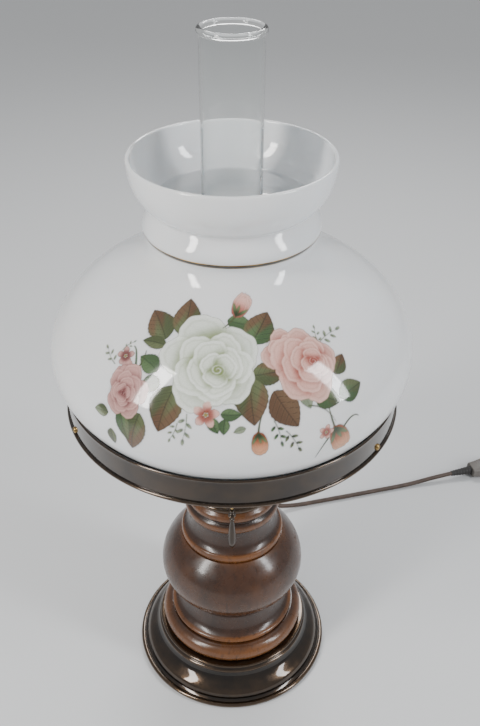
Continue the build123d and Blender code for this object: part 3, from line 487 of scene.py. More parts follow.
class Effects:
    """The node groups that several finishes share, each built once."""

    def __init__(self) -> None:
        """Builds the groups."""
        self.mottle = self._mottle()
        self.ridges_and_grooves = self._ridges_and_grooves()
        self.grain = self._grain()
        self.scratches = self._scratches()

    @staticmethod
    def _mottle() -> bpy.types.NodeTree:
        """Soft cloudy variation between two values."""
        tree, given, out = shader_group(
            "mottle", {"Vector": (0.0, 0.0, 0.0), "Scale": 60.0, "Low": 0.0, "High": 1.0}, ["Value"]
        )
        noise = tree.add("TexNoise", {"Vector": given["Vector"], "Scale": given["Scale"], "Detail": 5.0})
        value = tree.ramped(noise.outputs[0], 0.32, 0.68, given["Low"], given["High"])
        tree.tree.links.new(value, out.inputs["Value"])
        return tree.tree

    @staticmethod
    def _ridges_and_grooves() -> bpy.types.NodeTree:
        """Masks for lighter ridges and darker grooves, both broken up by noise: the ridge mask is partly
        rubbed wear and partly painted highlight, the groove mask partly grime and partly painted shade.
        """
        tree, given, out = shader_group(
            "ridges_and_grooves",
            {"Vector": (0.0, 0.0, 0.0), "Ridge": 0.0, "Scale": 90.0, "Break": 0.35},
            ["RidgeWearAndHighlight", "GrooveGrimeAndShade"],
        )
        noise = tree.add("TexNoise", {"Vector": given["Vector"], "Scale": given["Scale"], "Detail": 6.0})
        centred = tree.maths("SUBTRACT", noise.outputs[0], 0.5)
        broken = tree.maths("MULTIPLY_ADD", centred, given["Break"], given["Ridge"])
        # The ridge output lightens beads as wear and painted highlight; the groove output darkens grooves as
        # grime and painted shade.
        for label, low, high in (("RidgeWearAndHighlight", 0.12, 0.75), ("GrooveGrimeAndShade", -0.1, -0.7)):
            tree.tree.links.new(tree.ramped(broken, low, high, 0.0, 1.0), out.inputs[label])
        return tree.tree

    @staticmethod
    def _grain() -> bpy.types.NodeTree:
        """Wood figure that runs along Z: broad streaks and fine pores, both noise stretched upwards."""
        tree, given, out = shader_group(
            "grain", {"Vector": (0.0, 0.0, 0.0), "Streaks": 30.0, "Pores": 260.0}, ["Figure", "Pores"]
        )
        warp = tree.add("TexNoise", {"Vector": given["Vector"], "Scale": 9.0, "Detail": 2.0})
        shift = tree.add("VectorMath", {0: warp.outputs[1], 1: (0.03, 0.03, 0.03)}, operation="MULTIPLY")
        bent = tree.add("VectorMath", {0: given["Vector"], 1: shift.outputs[0]}, operation="ADD")
        broad = tree.add("VectorMath", {0: bent.outputs[0], 1: (1.0, 1.0, 0.16)}, operation="MULTIPLY")
        figure = tree.add("TexNoise", {"Vector": broad.outputs[0], "Scale": given["Streaks"], "Detail": 6.0})
        narrow = tree.add("VectorMath", {0: bent.outputs[0], 1: (1.0, 1.0, 0.06)}, operation="MULTIPLY")
        pores = tree.add("TexNoise", {"Vector": narrow.outputs[0], "Scale": given["Pores"], "Detail": 3.0})
        tree.tree.links.new(tree.ramped(figure.outputs[0], 0.36, 0.66, 0.0, 1.0), out.inputs["Figure"])
        tree.tree.links.new(tree.ramped(pores.outputs[0], 0.56, 0.72, 0.0, 1.0), out.inputs["Pores"])
        return tree.tree

    @staticmethod
    def _scratches() -> bpy.types.NodeTree:
        """Fine rings that a polishing wheel or a spinning tool leaves, as noise squeezed along Z."""
        tree, given, out = shader_group(
            "scratches", {"Vector": (0.0, 0.0, 0.0), "Scale": 14.0, "Rings": 60.0}, ["Value"]
        )
        squeeze = tree.add("CombineXYZ", {0: 1.0, 1: 1.0, 2: given["Rings"]})
        thin = tree.add("VectorMath", {0: given["Vector"], 1: squeeze.outputs[0]}, operation="MULTIPLY")
        noise = tree.add("TexNoise", {"Vector": thin.outputs[0], "Scale": given["Scale"], "Detail": 3.0})
        tree.tree.links.new(noise.outputs[0], out.inputs["Value"])
        return tree.tree


class Polish(Enum):
    """How a metal's surface was finished."""

    LACQUERED = 0.9
    SATIN = 0.25
    RAW = 0.0


@dataclass(frozen=True)
class Finish:
    """What every finish has: a name and a way to start its material."""

    name: str

    def start(self) -> tuple[Tree, bpy.types.NodeSocket, bpy.types.Node, bpy.types.Material]:
        """Makes the material's tree with Object coordinates and a Principled shader.

        Returns:
            The tree, the coordinates, the shader and the material.
        """
        material = bpy.data.materials.new(self.name)
        material.use_nodes = True
        material.node_tree.nodes.clear()
        tree = Tree(material.node_tree)
        place = tree.add("TexCoord").outputs["Object"]
        shader = tree.add("BsdfPrincipled")
        tree.add("OutputMaterial", {"Surface": shader.outputs[0]})
        return tree, place, shader, material

    def bumped(self, tree: Tree, shader: bpy.types.Node, height: object, depth: float) -> None:
        """Feeds a height through a Bump node into the shader's normal.

        Args:
            tree: the material's tree.
            shader: its Principled node.
            height: the height, from 0 to 1.
            depth: how deep 1 is, in millimetres.
        """
        bump = tree.add("Bump", {"Strength": 1.0, "Distance": depth * MM, "Height": height})
        tree.tree.links.new(bump.outputs[0], shader.inputs["Normal"])


def grouped(tree: Tree, group: bpy.types.NodeTree, **inputs: object) -> bpy.types.Node:
    """Places a node group in a material.

    Args:
        tree: the material's tree.
        group: the group.
        **inputs: values or sockets for its inputs.

    Returns:
        The group's node.
    """
    node = tree.add("Group", node_tree=group)
    for label, value in inputs.items():
        if isinstance(value, bpy.types.NodeSocket):
            tree.tree.links.new(value, node.inputs[label])
        else:
            node.inputs[label].default_value = value
    return node


def solid(colour: Colour) -> tuple[float, float, float, float]:
    """A colour with full cover."""
    return (*colour, 1.0)


@dataclass(frozen=True)
class Walnut(Finish):
    """Turned walnut, stained dark, under satin lacquer: amber on its ridges is partly rubbed-through wear
    and partly painted highlight, and the darker grooves are partly grime and partly painted shade.
    """

    dark: Colour = (0.016, 0.0062, 0.0028)
    brown: Colour = (0.058, 0.02, 0.0068)
    amber: Colour = (0.165, 0.06, 0.0145)
    gloss: float = 0.26

    def make(self, effects: Effects) -> bpy.types.Material:
        """Builds the material.

        Args:
            effects: the shared node groups.

        Returns:
            The material.
        """
        tree, place, shader, material = self.start()
        ridge = tree.add("Attribute", attribute_name="ridge").outputs["Fac"]
        grain = grouped(tree, effects.grain, Vector=place)
        cloud = grouped(tree, effects.mottle, Vector=place, Scale=22.0, Low=0.0, High=0.75)
        ridges_and_grooves = grouped(tree, effects.ridges_and_grooves, Vector=place, Ridge=ridge, Scale=70.0, Break=0.5)
        share = tree.maths("MULTIPLY_ADD", grain.outputs["Figure"], 0.6, cloud.outputs[0])
        stained = tree.mixed(tree.maths("MULTIPLY", share, 0.75), solid(self.dark), solid(self.brown))
        # Amber on the ridges is partly rubbed-through wear and partly painted highlight; the darkening in
        # grooves is partly grime and partly painted shade.
        warmth = tree.maths("MULTIPLY", ridges_and_grooves.outputs["RidgeWearAndHighlight"], tree.maths("MULTIPLY_ADD", share, 0.5, 0.45))
        ridges_lightened = tree.mixed(warmth, stained, solid(self.amber))
        grooves_darkened = tree.mixed(tree.maths("MULTIPLY", ridges_and_grooves.outputs["GrooveGrimeAndShade"], 0.8), ridges_lightened, solid(self.dark))
        pored = tree.mixed(tree.maths("MULTIPLY", grain.outputs["Pores"], 0.5), grooves_darkened, solid(self.dark))
        tree.tree.links.new(pored, shader.inputs["Base Color"])
        rough = grouped(
            tree, effects.mottle, Vector=place, Scale=120.0, Low=self.gloss - 0.04, High=self.gloss + 0.1
        )
        tree.tree.links.new(rough.outputs[0], shader.inputs["Roughness"])
        shader.inputs["Coat Weight"].default_value = 0.35
        shader.inputs["Coat Roughness"].default_value = 0.12
        lines = grouped(tree, effects.scratches, Vector=place, Scale=12.0, Rings=110.0)
        height = tree.maths("MULTIPLY_ADD", grain.outputs["Pores"], -0.6, lines.outputs[0])
        self.bumped(tree, shader, height, 0.045)
        return material


@dataclass(frozen=True)
class Metal(Finish):
    """A metal darkened in its grooves by grime and painted shade, and lightened on its ridges by rubbed wear
    and painted highlight.
    """

    colour: Colour = (0.5, 0.5, 0.5)
    worn: Colour = (0.7, 0.7, 0.7)
    groove_dark: Colour = (0.02, 0.02, 0.02)
    roughness: float = 0.3
    spread: float = 0.1
    polish: Polish = Polish.RAW
    metallic: float = 1.0
    relief: float = 0.01
    rings: float = 90.0

    def make(self, effects: Effects) -> bpy.types.Material:
        """Builds the material.

        Args:
            effects: the shared node groups.

        Returns:
            The material.
        """
        tree, place, shader, material = self.start()
        ridge = tree.add("Attribute", attribute_name="ridge").outputs["Fac"]
        ridges_and_grooves = grouped(tree, effects.ridges_and_grooves, Vector=place, Ridge=ridge, Scale=160.0, Break=0.5)
        cloud = grouped(tree, effects.mottle, Vector=place, Scale=75.0, Low=0.0, High=0.35)
        base = tree.mixed(cloud.outputs[0], solid(self.colour), solid(self.worn))
        # Lighter ridges are rubbed wear plus painted highlight; darker grooves are grime plus painted shade.
        ridges_lightened = tree.mixed(tree.maths("MULTIPLY", ridges_and_grooves.outputs["RidgeWearAndHighlight"], 0.7), base, solid(self.worn))
        grooves_darkened = tree.mixed(tree.maths("MULTIPLY", ridges_and_grooves.outputs["GrooveGrimeAndShade"], 0.75), ridges_lightened, solid(self.groove_dark))
        tree.tree.links.new(grooves_darkened, shader.inputs["Base Color"])
        rough = grouped(
            tree, effects.mottle, Vector=place, Scale=140.0,
            Low=self.roughness - self.spread / 2, High=self.roughness + self.spread,
        )
        tree.tree.links.new(rough.outputs[0], shader.inputs["Roughness"])
        shader.inputs["Metallic"].default_value = self.metallic
        shader.inputs["Coat Weight"].default_value = self.polish.value
        shader.inputs["Coat Roughness"].default_value = 0.05
        lines = grouped(tree, effects.scratches, Vector=place, Scale=18.0, Rings=self.rings)
        self.bumped(tree, shader, lines.outputs[0], self.relief)
        return material


@dataclass(frozen=True)
class Moulded(Finish):
    """A moulded plastic or rubber with a fine skin."""

    colour: Colour = (0.03, 0.03, 0.03)
    shade: Colour = (0.02, 0.02, 0.02)
    roughness: float = 0.4
    relief: float = 0.03
    scale: float = 900.0
    sheen: float = 0.0

    def make(self, effects: Effects) -> bpy.types.Material:
        """Builds the material.

        Args:
            effects: the shared node groups.

        Returns:
            The material.
        """
        tree, place, shader, material = self.start()
        cloud = grouped(tree, effects.mottle, Vector=place, Scale=110.0)
        tone = tree.mixed(cloud.outputs[0], solid(self.colour), solid(self.shade))
        tree.tree.links.new(tone, shader.inputs["Base Color"])
        rough = grouped(
            tree, effects.mottle, Vector=place, Scale=260.0,
            Low=self.roughness - 0.06, High=self.roughness + 0.1,
        )
        tree.tree.links.new(rough.outputs[0], shader.inputs["Roughness"])
        shader.inputs["Sheen Weight"].default_value = self.sheen
        skin = tree.add("TexNoise", {"Vector": place, "Scale": self.scale, "Detail": 2.0})
        self.bumped(tree, shader, skin.outputs[0], self.relief)
        return material


@dataclass(frozen=True)
class Felt(Finish):
    """Pressed wool felt: matted fibres in several tones."""

    colour: Colour = (0.022, 0.04, 0.026)
    fibre: Colour = (0.06, 0.09, 0.062)

    def make(self, effects: Effects) -> bpy.types.Material:
        """Builds the material.

        Args:
            effects: the shared node groups.

        Returns:
            The material.
        """
        tree, place, shader, material = self.start()
        fibres = tree.add("TexNoise", {"Vector": place, "Scale": 1500.0, "Detail": 4.0, "Distortion": 3.0})
        cloud = grouped(tree, effects.mottle, Vector=place, Scale=60.0, Low=0.0, High=0.5)
        share = tree.maths("MULTIPLY_ADD", fibres.outputs[0], 0.8, cloud.outputs[0])
        tone = tree.mixed(tree.maths("SUBTRACT", share, 0.25), solid(self.colour), solid(self.fibre))
        tree.tree.links.new(tone, shader.inputs["Base Color"])
        shader.inputs["Roughness"].default_value = 0.95
        shader.inputs["Sheen Weight"].default_value = 0.6
        shader.inputs["Sheen Roughness"].default_value = 0.5
        self.bumped(tree, shader, fibres.outputs[0], 0.25)
        return material


@dataclass(frozen=True)
class OpalGlass(Finish):
    """Milk-white cased glass: light scatters in the wall under a fire-polished skin with slow waves."""

    milk: Colour = (0.80, 0.825, 0.86)
    cream: Colour = (0.86, 0.865, 0.86)
    depth: float = 5.0

    def make(self, effects: Effects) -> bpy.types.Material:
        """Builds the material.

        Args:
            effects: the shared node groups.

        Returns:
            The material.
        """
        tree, place, shader, material = self.start()
        cloud = grouped(tree, effects.mottle, Vector=place, Scale=9.0)
        tone = tree.mixed(cloud.outputs[0], solid(self.milk), solid(self.cream))
        tree.tree.links.new(tone, shader.inputs["Base Color"])
        rough = grouped(tree, effects.mottle, Vector=place, Scale=35.0, Low=0.03, High=0.08)
        tree.tree.links.new(rough.outputs[0], shader.inputs["Roughness"])
        shader.inputs["Subsurface Weight"].default_value = 0.55
        shader.inputs["Subsurface Radius"].default_value = (0.85, 0.95, 1.0)
        shader.inputs["Subsurface Scale"].default_value = self.depth * MM
        shader.inputs["IOR"].default_value = 1.5
        shader.inputs["Coat Weight"].default_value = 0.5
        shader.inputs["Coat Roughness"].default_value = 0.02
        waves = tree.add("TexNoise", {"Vector": place, "Scale": 26.0, "Detail": 1.0})
        self.bumped(tree, shader, waves.outputs[0], 0.35)
        return material


@dataclass(frozen=True)
class ClearGlass(Finish):
    """Drawn clear glass with faint draw lines along its length."""

    tint: Colour = (0.985, 0.995, 0.99)
    waves: float = 0.05
    scale: float = 60.0

    def make(self, effects: Effects) -> bpy.types.Material:
        """Builds the material.

        Args:
            effects: the shared node groups.

        Returns:
            The material.
        """
        tree, place, shader, material = self.start()
        smudge = grouped(tree, effects.mottle, Vector=place, Scale=45.0, Low=0.0, High=0.03)
        tree.tree.links.new(smudge.outputs[0], shader.inputs["Roughness"])
        shader.inputs["Base Color"].default_value = solid(self.tint)
        shader.inputs["Transmission Weight"].default_value = 1.0
        shader.inputs["IOR"].default_value = 1.47
        stretched = tree.add("VectorMath", {0: place, 1: (1.0, 1.0, 0.08)}, operation="MULTIPLY")
        lines = tree.add("TexNoise", {"Vector": stretched.outputs[0], "Scale": self.scale, "Detail": 1.0})
        self.bumped(tree, shader, lines.outputs[0], self.waves)
        return material


@dataclass(frozen=True)
class FiredPaint(Finish):
    """Enamel colours fired on the glass: colour and cover come from the piece's own attributes."""

    def make(self, effects: Effects) -> bpy.types.Material:
        """Builds the material.

        Args:
            effects: the shared node groups.

        Returns:
            The material.
        """
        tree, place, shader, material = self.start()
        paint = tree.add("Attribute", attribute_name="paint")
        cover = tree.add("Attribute", attribute_name="cover")
        dots = tree.add("TexNoise", {"Vector": place, "Scale": 1400.0, "Detail": 1.0})
        screen = tree.ramped(dots.outputs[0], 0.3, 0.7, 0.9, 1.06)
        dotted = tree.add("VectorMath", {0: paint.outputs["Color"], 3: screen}, operation="SCALE")
        tree.tree.links.new(dotted.outputs[0], shader.inputs["Base Color"])
        tree.tree.links.new(cover.outputs["Fac"], shader.inputs["Alpha"])
        rough = grouped(tree, effects.mottle, Vector=place, Scale=60.0, Low=0.05, High=0.12)
        tree.tree.links.new(rough.outputs[0], shader.inputs["Roughness"])
        shader.inputs["Coat Weight"].default_value = 0.5
        shader.inputs["Coat Roughness"].default_value = 0.02
        waves = tree.add("TexNoise", {"Vector": place, "Scale": 26.0, "Detail": 1.0})
        self.bumped(tree, shader, waves.outputs[0], 0.35)
        return material


@dataclass(frozen=True)
class GiltLine(Finish):
    """Burnished gold with a near-black olive middle, by the attribute "across": the dark middle is a painted
    reflection of dark surroundings in the gold.
    """

    gold: Colour = (0.45, 0.27, 0.07)
    painted_dark_reflection: Colour = (0.014, 0.011, 0.004)

    def make(self, effects: Effects) -> bpy.types.Material:
        """Builds the material.

        Args:
            effects: the shared node groups.

        Returns:
            The material.
        """
        tree, place, shader, material = self.start()
        across = tree.add("Attribute", attribute_name="across").outputs["Fac"]
        wobble = grouped(tree, effects.mottle, Vector=place, Scale=80.0, Low=-0.08, High=0.08)
        off_middle = tree.maths("ABSOLUTE", tree.maths("SUBTRACT", across, 0.5))
        edge = tree.maths("ADD", off_middle, wobble.outputs[0])
        gold = tree.ramped(edge, 0.3, 0.42, 0.0, 1.0)
        # The near-black middle is a painted reflection of dark surroundings in the gold; only the edges stay
        # gold.
        banded = tree.mixed(gold, solid(self.painted_dark_reflection), solid(self.gold))
        tree.tree.links.new(banded, shader.inputs["Base Color"])
        tree.tree.links.new(tree.ramped(gold, 0.0, 1.0, 0.25, 1.0), shader.inputs["Metallic"])
        tree.tree.links.new(tree.ramped(gold, 0.0, 1.0, 0.16, 0.3), shader.inputs["Roughness"])
        shader.inputs["Coat Weight"].default_value = 0.4
        return material


def finishes() -> dict[str, bpy.types.Material]:
    """Builds every finish of the lamp.

    Returns:
        The materials, by the record's slot, with the paint and the gilt line beside them.
    """
    effects = Effects()
    kinds = [
        Felt("felt"),
        Metal(
            "dark_bronze", colour=(0.019, 0.0115, 0.007), worn=(0.085, 0.049, 0.023),
            groove_dark=(0.005, 0.0035, 0.0025), roughness=0.17, spread=0.08, polish=Polish.LACQUERED,
            metallic=0.85, relief=0.006, rings=60.0,
        ),
        Metal(
            "cast_iron", colour=(0.09, 0.088, 0.085), worn=(0.16, 0.155, 0.15), roughness=0.6,
            metallic=0.8, relief=0.12, rings=1.0,
        ),
        Metal("zinc_steel", colour=(0.5, 0.49, 0.46), worn=(0.62, 0.61, 0.6), roughness=0.32),
        Walnut("walnut"),
        Metal(
            "old_brass", colour=(0.3, 0.19, 0.065), worn=(0.5, 0.34, 0.14), groove_dark=(0.05, 0.032, 0.012),
            roughness=0.28, polish=Polish.SATIN,
        ),
        Moulded("black_phenolic", colour=(0.02, 0.016, 0.014), shade=(0.034, 0.026, 0.021), roughness=0.24),
        Metal("nickel", colour=(0.56, 0.53, 0.48), worn=(0.72, 0.7, 0.66), roughness=0.18, spread=0.06),
        Moulded("black_rubber", colour=(0.018, 0.016, 0.015), shade=(0.03, 0.028, 0.027), roughness=0.5),
        Moulded(
            "cord_brown", colour=(0.055, 0.032, 0.022), shade=(0.085, 0.052, 0.036), roughness=0.42,
            relief=0.02, scale=1600.0,
        ),
        Moulded(
            "plug_grey", colour=(0.14, 0.125, 0.11), shade=(0.18, 0.165, 0.15), roughness=0.42, relief=0.04,
        ),
        OpalGlass("opal_glass"),
        ClearGlass("clear_glass"),
        ClearGlass("bulb_glass", tint=(0.99, 0.99, 0.98), waves=0.01),
        Metal("tungsten", colour=(0.2, 0.19, 0.18), worn=(0.34, 0.33, 0.32), roughness=0.45),
        FiredPaint("fired_paint"),
        GiltLine("gilt_line"),
    ]
    return {kind.name: kind.make(effects) for kind in kinds}


@dataclass
class Workshop:
    """Keeps the finishes and hands each piece over to its body."""

    coats: dict[str, bpy.types.Material] = field(default_factory=finishes)

    def hand_over(
        self, piece: bpy.types.Object, slot: str, *nodes: str, body: str = "base", coat: str | None = None
    ) -> bpy.types.Object:
        """Gives a piece its finish, its body and the CAD nodes that it stands for.

        Args:
            piece: the finished piece.
            slot: the record's material slot.
            *nodes: CAD nodes that the piece replaces.
            body: the CAD body that it moves with.
            coat: the finish, where it isn't the slot's own.

        Returns:
            The piece.
        """
        piece.data.materials.append(self.coats[coat or slot])
        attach(piece, body)
        if nodes:
            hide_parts(*nodes)
        log.info("%s stands for %s on %s", piece.name, ", ".join(nodes) or "nothing", body)
        return piece

    def dress_frame(self) -> None:
        """Gives every CAD node the finish of its slot in the record."""
        for part in frame["record"]["subparts"]:
            mesh = frame["nodes"][part["node"]].data
            mesh.materials.clear()
            mesh.materials.append(self.coats[part["material_slot"]])
            log.info("%s wears %s", part["node"], part["material_slot"])


def levels(node: str) -> tuple[float, float]:
    """Lowest and highest level of a CAD node, in millimetres."""
    low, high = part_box(node)
    return low.z / MM, high.z / MM


# ---------------------------------------------------------------- foot and column
@dataclass
class Foot:
    """The spun bronze foot: a rolled rim, an ogee side and two small beads under the wood."""

    radius: float = 90.3
    roll: float = 2.3
    wall: float = 1.3
    bore: float = 5.05

    def ogee(self, inset: float) -> np.ndarray:
        """The side from the rim's groove up to the beads, moved inwards by the inset."""
        edge = self.radius - inset
        stops = [(edge - 4.3, 6.5), (edge - 6.3, 12.5), (edge - 13.8, 18.5), (edge - 18.7, 27.0)]
        return flowing(stops, (0, 1), (-0.1, 1))

    def build(self, shop: Workshop) -> None:
        """Makes the foot.

        Args:
            shop: the finishes.
        """
        _, top = levels("spun_foot")
        edge = self.radius
        rim = ring_points((edge, self.roll + 1.2), self.roll, math.radians(-125), math.radians(140), 40)
        outline = joined(
            (edge - 4.3 - self.wall, 2.0),
            rim,
            self.ogee(0),
            arc((edge - 18.7, 27.0), (edge - 17.2, 29.2), (edge - 19.2, 31.2)),
            arc((edge - 19.9, 32.2), (edge - 18.9, 33.7), (edge - 20.2, top)),
            (self.bore, top),
            (self.bore, top - self.wall),
            (edge - 21.5 - self.wall, top - self.wall),
            self.ogee(self.wall)[::-1],
        )
        shop.hand_over(lathe("bronze_foot", outline, steps=240), "dark_bronze", "spun_foot")


@dataclass
class Column:
    """The three turnings of the wooden column."""

    bore: float = 5.05
    torus_radius: float = 67.6
    bulge_radius: float = 66.0
    waist_radius: float = 48.0
    top_radius: float = 42.6

    def lowest(self) -> np.ndarray:
        """Outline of the round torus that stands on the foot."""
        low, high = levels("column_torus")
        wide = self.torus_radius
        round_side = arc((wide - 4.0, low), (wide, low + 0.47 * (high - low)), (wide - 6.6, high - 0.8), 40)
        return joined(round_side, (wide - 8.0, high), (self.bore, high), (self.bore, low))

    def body(self) -> np.ndarray:
        """Outline of the vase with its waist and its bulge, over a small astragal."""
        low, high = levels("column_body")
        bulge, waist = low + 0.618 * (high - low), low + 0.25 * (high - low)
        bead, shoulder = self.torus_radius - 9.2, self.top_radius + 4.0
        return joined(
            arc((bead - 1.6, low), (bead, low + 2.3), (bead - 1.7, low + 4.6)),
            cubic(
                (bead - 1.7, low + 4.6), (self.waist_radius + 2.6, low + 7.0),
                (self.waist_radius, waist - 9.0), (self.waist_radius, waist),
            ),
            cubic(
                (self.waist_radius, waist), (self.waist_radius, waist + 12.0),
                (self.bulge_radius, bulge - 20.0), (self.bulge_radius, bulge),
            ),
            cubic(
                (self.bulge_radius, bulge), (self.bulge_radius, bulge + 18.5),
                (shoulder + 6.9, high - 6.0), (shoulder, high),
            ),
            (self.bore, high),
            (self.bore, low),
        )

    def capital(self) -> np.ndarray:
        """Outline of the top turning: a bead, a tall cove and two beads under the metal cap."""
        low, high = levels("column_capital")
        wide, cove = self.top_radius, self.top_radius - 4.6
        return joined(
            arc((wide + 2.8, low), (wide + 4.0, low + 3.8), (wide + 2.8, low + 7.5)),
            cubic((wide + 1.8, low + 7.9), (cove + 1.6, low + 11.0), (cove, low + 17.5), (cove, low + 25.5)),
            arc((cove + 0.6, low + 30.5), (wide, low + 36.5), (cove + 1.2, low + 42.0)),
            arc((cove + 1.2, low + 43.2), (wide - 1.5, low + 47.3), (cove + 0.8, high - 1.3)),
            (cove - 0.4, high),
            (self.bore, high),
            (self.bore, low),
        )

    def build(self, shop: Workshop) -> None:
        """Makes the three turnings.

        Args:
            shop: the finishes.
        """
        for name, outline, node in (
            ("wooden_torus", self.lowest(), "column_torus"),
            ("wooden_vase", self.body(), "column_body"),
            ("wooden_capital", self.capital(), "column_capital"),
        ):
            shop.hand_over(lathe(name, outline, steps=224, reach=1.8), "walnut", node)


@dataclass
class Spindle:
    """The bronze cap on the wood and the slim vase above it that carries the shade's arms."""

    bore: float = 5.05
    cap_radius: float = 40.0
    neck_radius: float = 17.0
    hub_radius: float = 13.5

    def cap(self) -> np.ndarray:
        """Outline of the cap: a rolled edge and a long slope up to the spindle."""
        low, high = levels("column_cap")
        wide, slim = self.cap_radius, self.neck_radius
        return joined(
            (wide - 3.2, low),
            arc((wide - 1.6, low + 1.4), (wide, low + 3.8), (wide - 1.6, low + 6.2)),
            cubic((wide - 1.6, low + 6.2), (wide - 9.0, low + 9.4), (slim + 3.0, high - 1.4), (slim, high)),
            (self.bore, high),
            (self.bore, high - 2.0),
            (slim, high - 2.0),
            (wide - 7.0, low + 4.6),
            (wide - 7.0, low),
        )

    def vase(self) -> np.ndarray:
        """Outline of the spindle: foot bead, slender neck, belly, collar and a flare under the hub."""
        low, high = levels("neck_vase")
        slim = self.neck_radius
        return joined(
            arc((slim - 2.5, low), (slim - 0.9, low + 2.4), (slim - 2.5, low + 4.8)),
            cubic(
                (slim - 2.5, low + 4.8), (slim - 8.0, low + 6.5),
                (slim - 8.5, low + 12.0), (slim - 8.5, low + 15.0),
            ),
            cubic(
                (slim - 8.5, low + 15.0), (slim - 8.5, low + 24.0),
                (slim, low + 27.0), (slim, low + 38.0),
            ),
            cubic(
                (slim, low + 38.0), (slim, low + 50.0),
                (slim - 8.0, low + 48.0), (slim - 8.0, high - 14.0),
            ),
            arc((slim - 8.0, high - 14.0), (slim - 5.4, high - 11.2), (slim - 8.0, high - 8.4)),
            cubic(
                (slim - 8.0, high - 8.4), (slim - 7.4, high - 3.0),
                (self.hub_radius - 1.0, high - 4.0), (self.hub_radius - 0.5, high),
            ),
            (self.bore, high),
            (self.bore, low),
        )

    def build(self, shop: Workshop) -> None:
        """Makes the cap and the spindle.

        Args:
            shop: the finishes.
        """
        shop.hand_over(lathe("bronze_cap", self.cap()), "dark_bronze", "column_cap")
        spindle = lathe("bronze_spindle", self.vase(), steps=96, reach=1.5, ridge_width=3.0)
        shop.hand_over(spindle, "dark_bronze", "neck_vase")


@dataclass
class Gallery:
    """The ring that the shade sits in: a rolled lower edge, a beaded upper edge and a ledge inside."""

    radius: float = 132.0
    wall: float = 1.2
    roll: float = 1.5
    bead: float = 1.1
    ledge_width: float = 19.0
    below_ledge: float = 9.5
    above_ledge: float = 12.2

    def build(self, shop: Workshop) -> None:
        """Makes the ring.

        Args:
            shop: the finishes.
        """
        low, _ = levels("gallery_ring")
        foot = low + self.roll
        ledge, top = foot + self.below_ledge, foot + self.below_ledge + self.above_ledge
        inside = self.radius - self.wall
        lip = self.radius - self.ledge_width
        roll_end = math.acos((self.radius - inside - self.roll) / self.roll)
        bead_turn = math.acos(0.6 / self.bead)
        outline = joined(
            ring_points((inside + self.roll, foot), self.roll, -math.pi, roll_end, 30),
            ring_points((self.radius - 0.6, top), self.bead, -bead_turn, math.pi + bead_turn, 30),
            (inside, ledge),
            (lip, ledge),
            (lip, ledge - 4.5),
            (lip + self.wall, ledge - 4.5),
            (lip + self.wall, ledge - self.wall),
            (inside, ledge - self.wall),
        )
        ring = lathe("shade_ring", outline, steps=288, blur=0.18, ridge_width=2.5)
        shop.hand_over(ring, "dark_bronze", "gallery_ring")


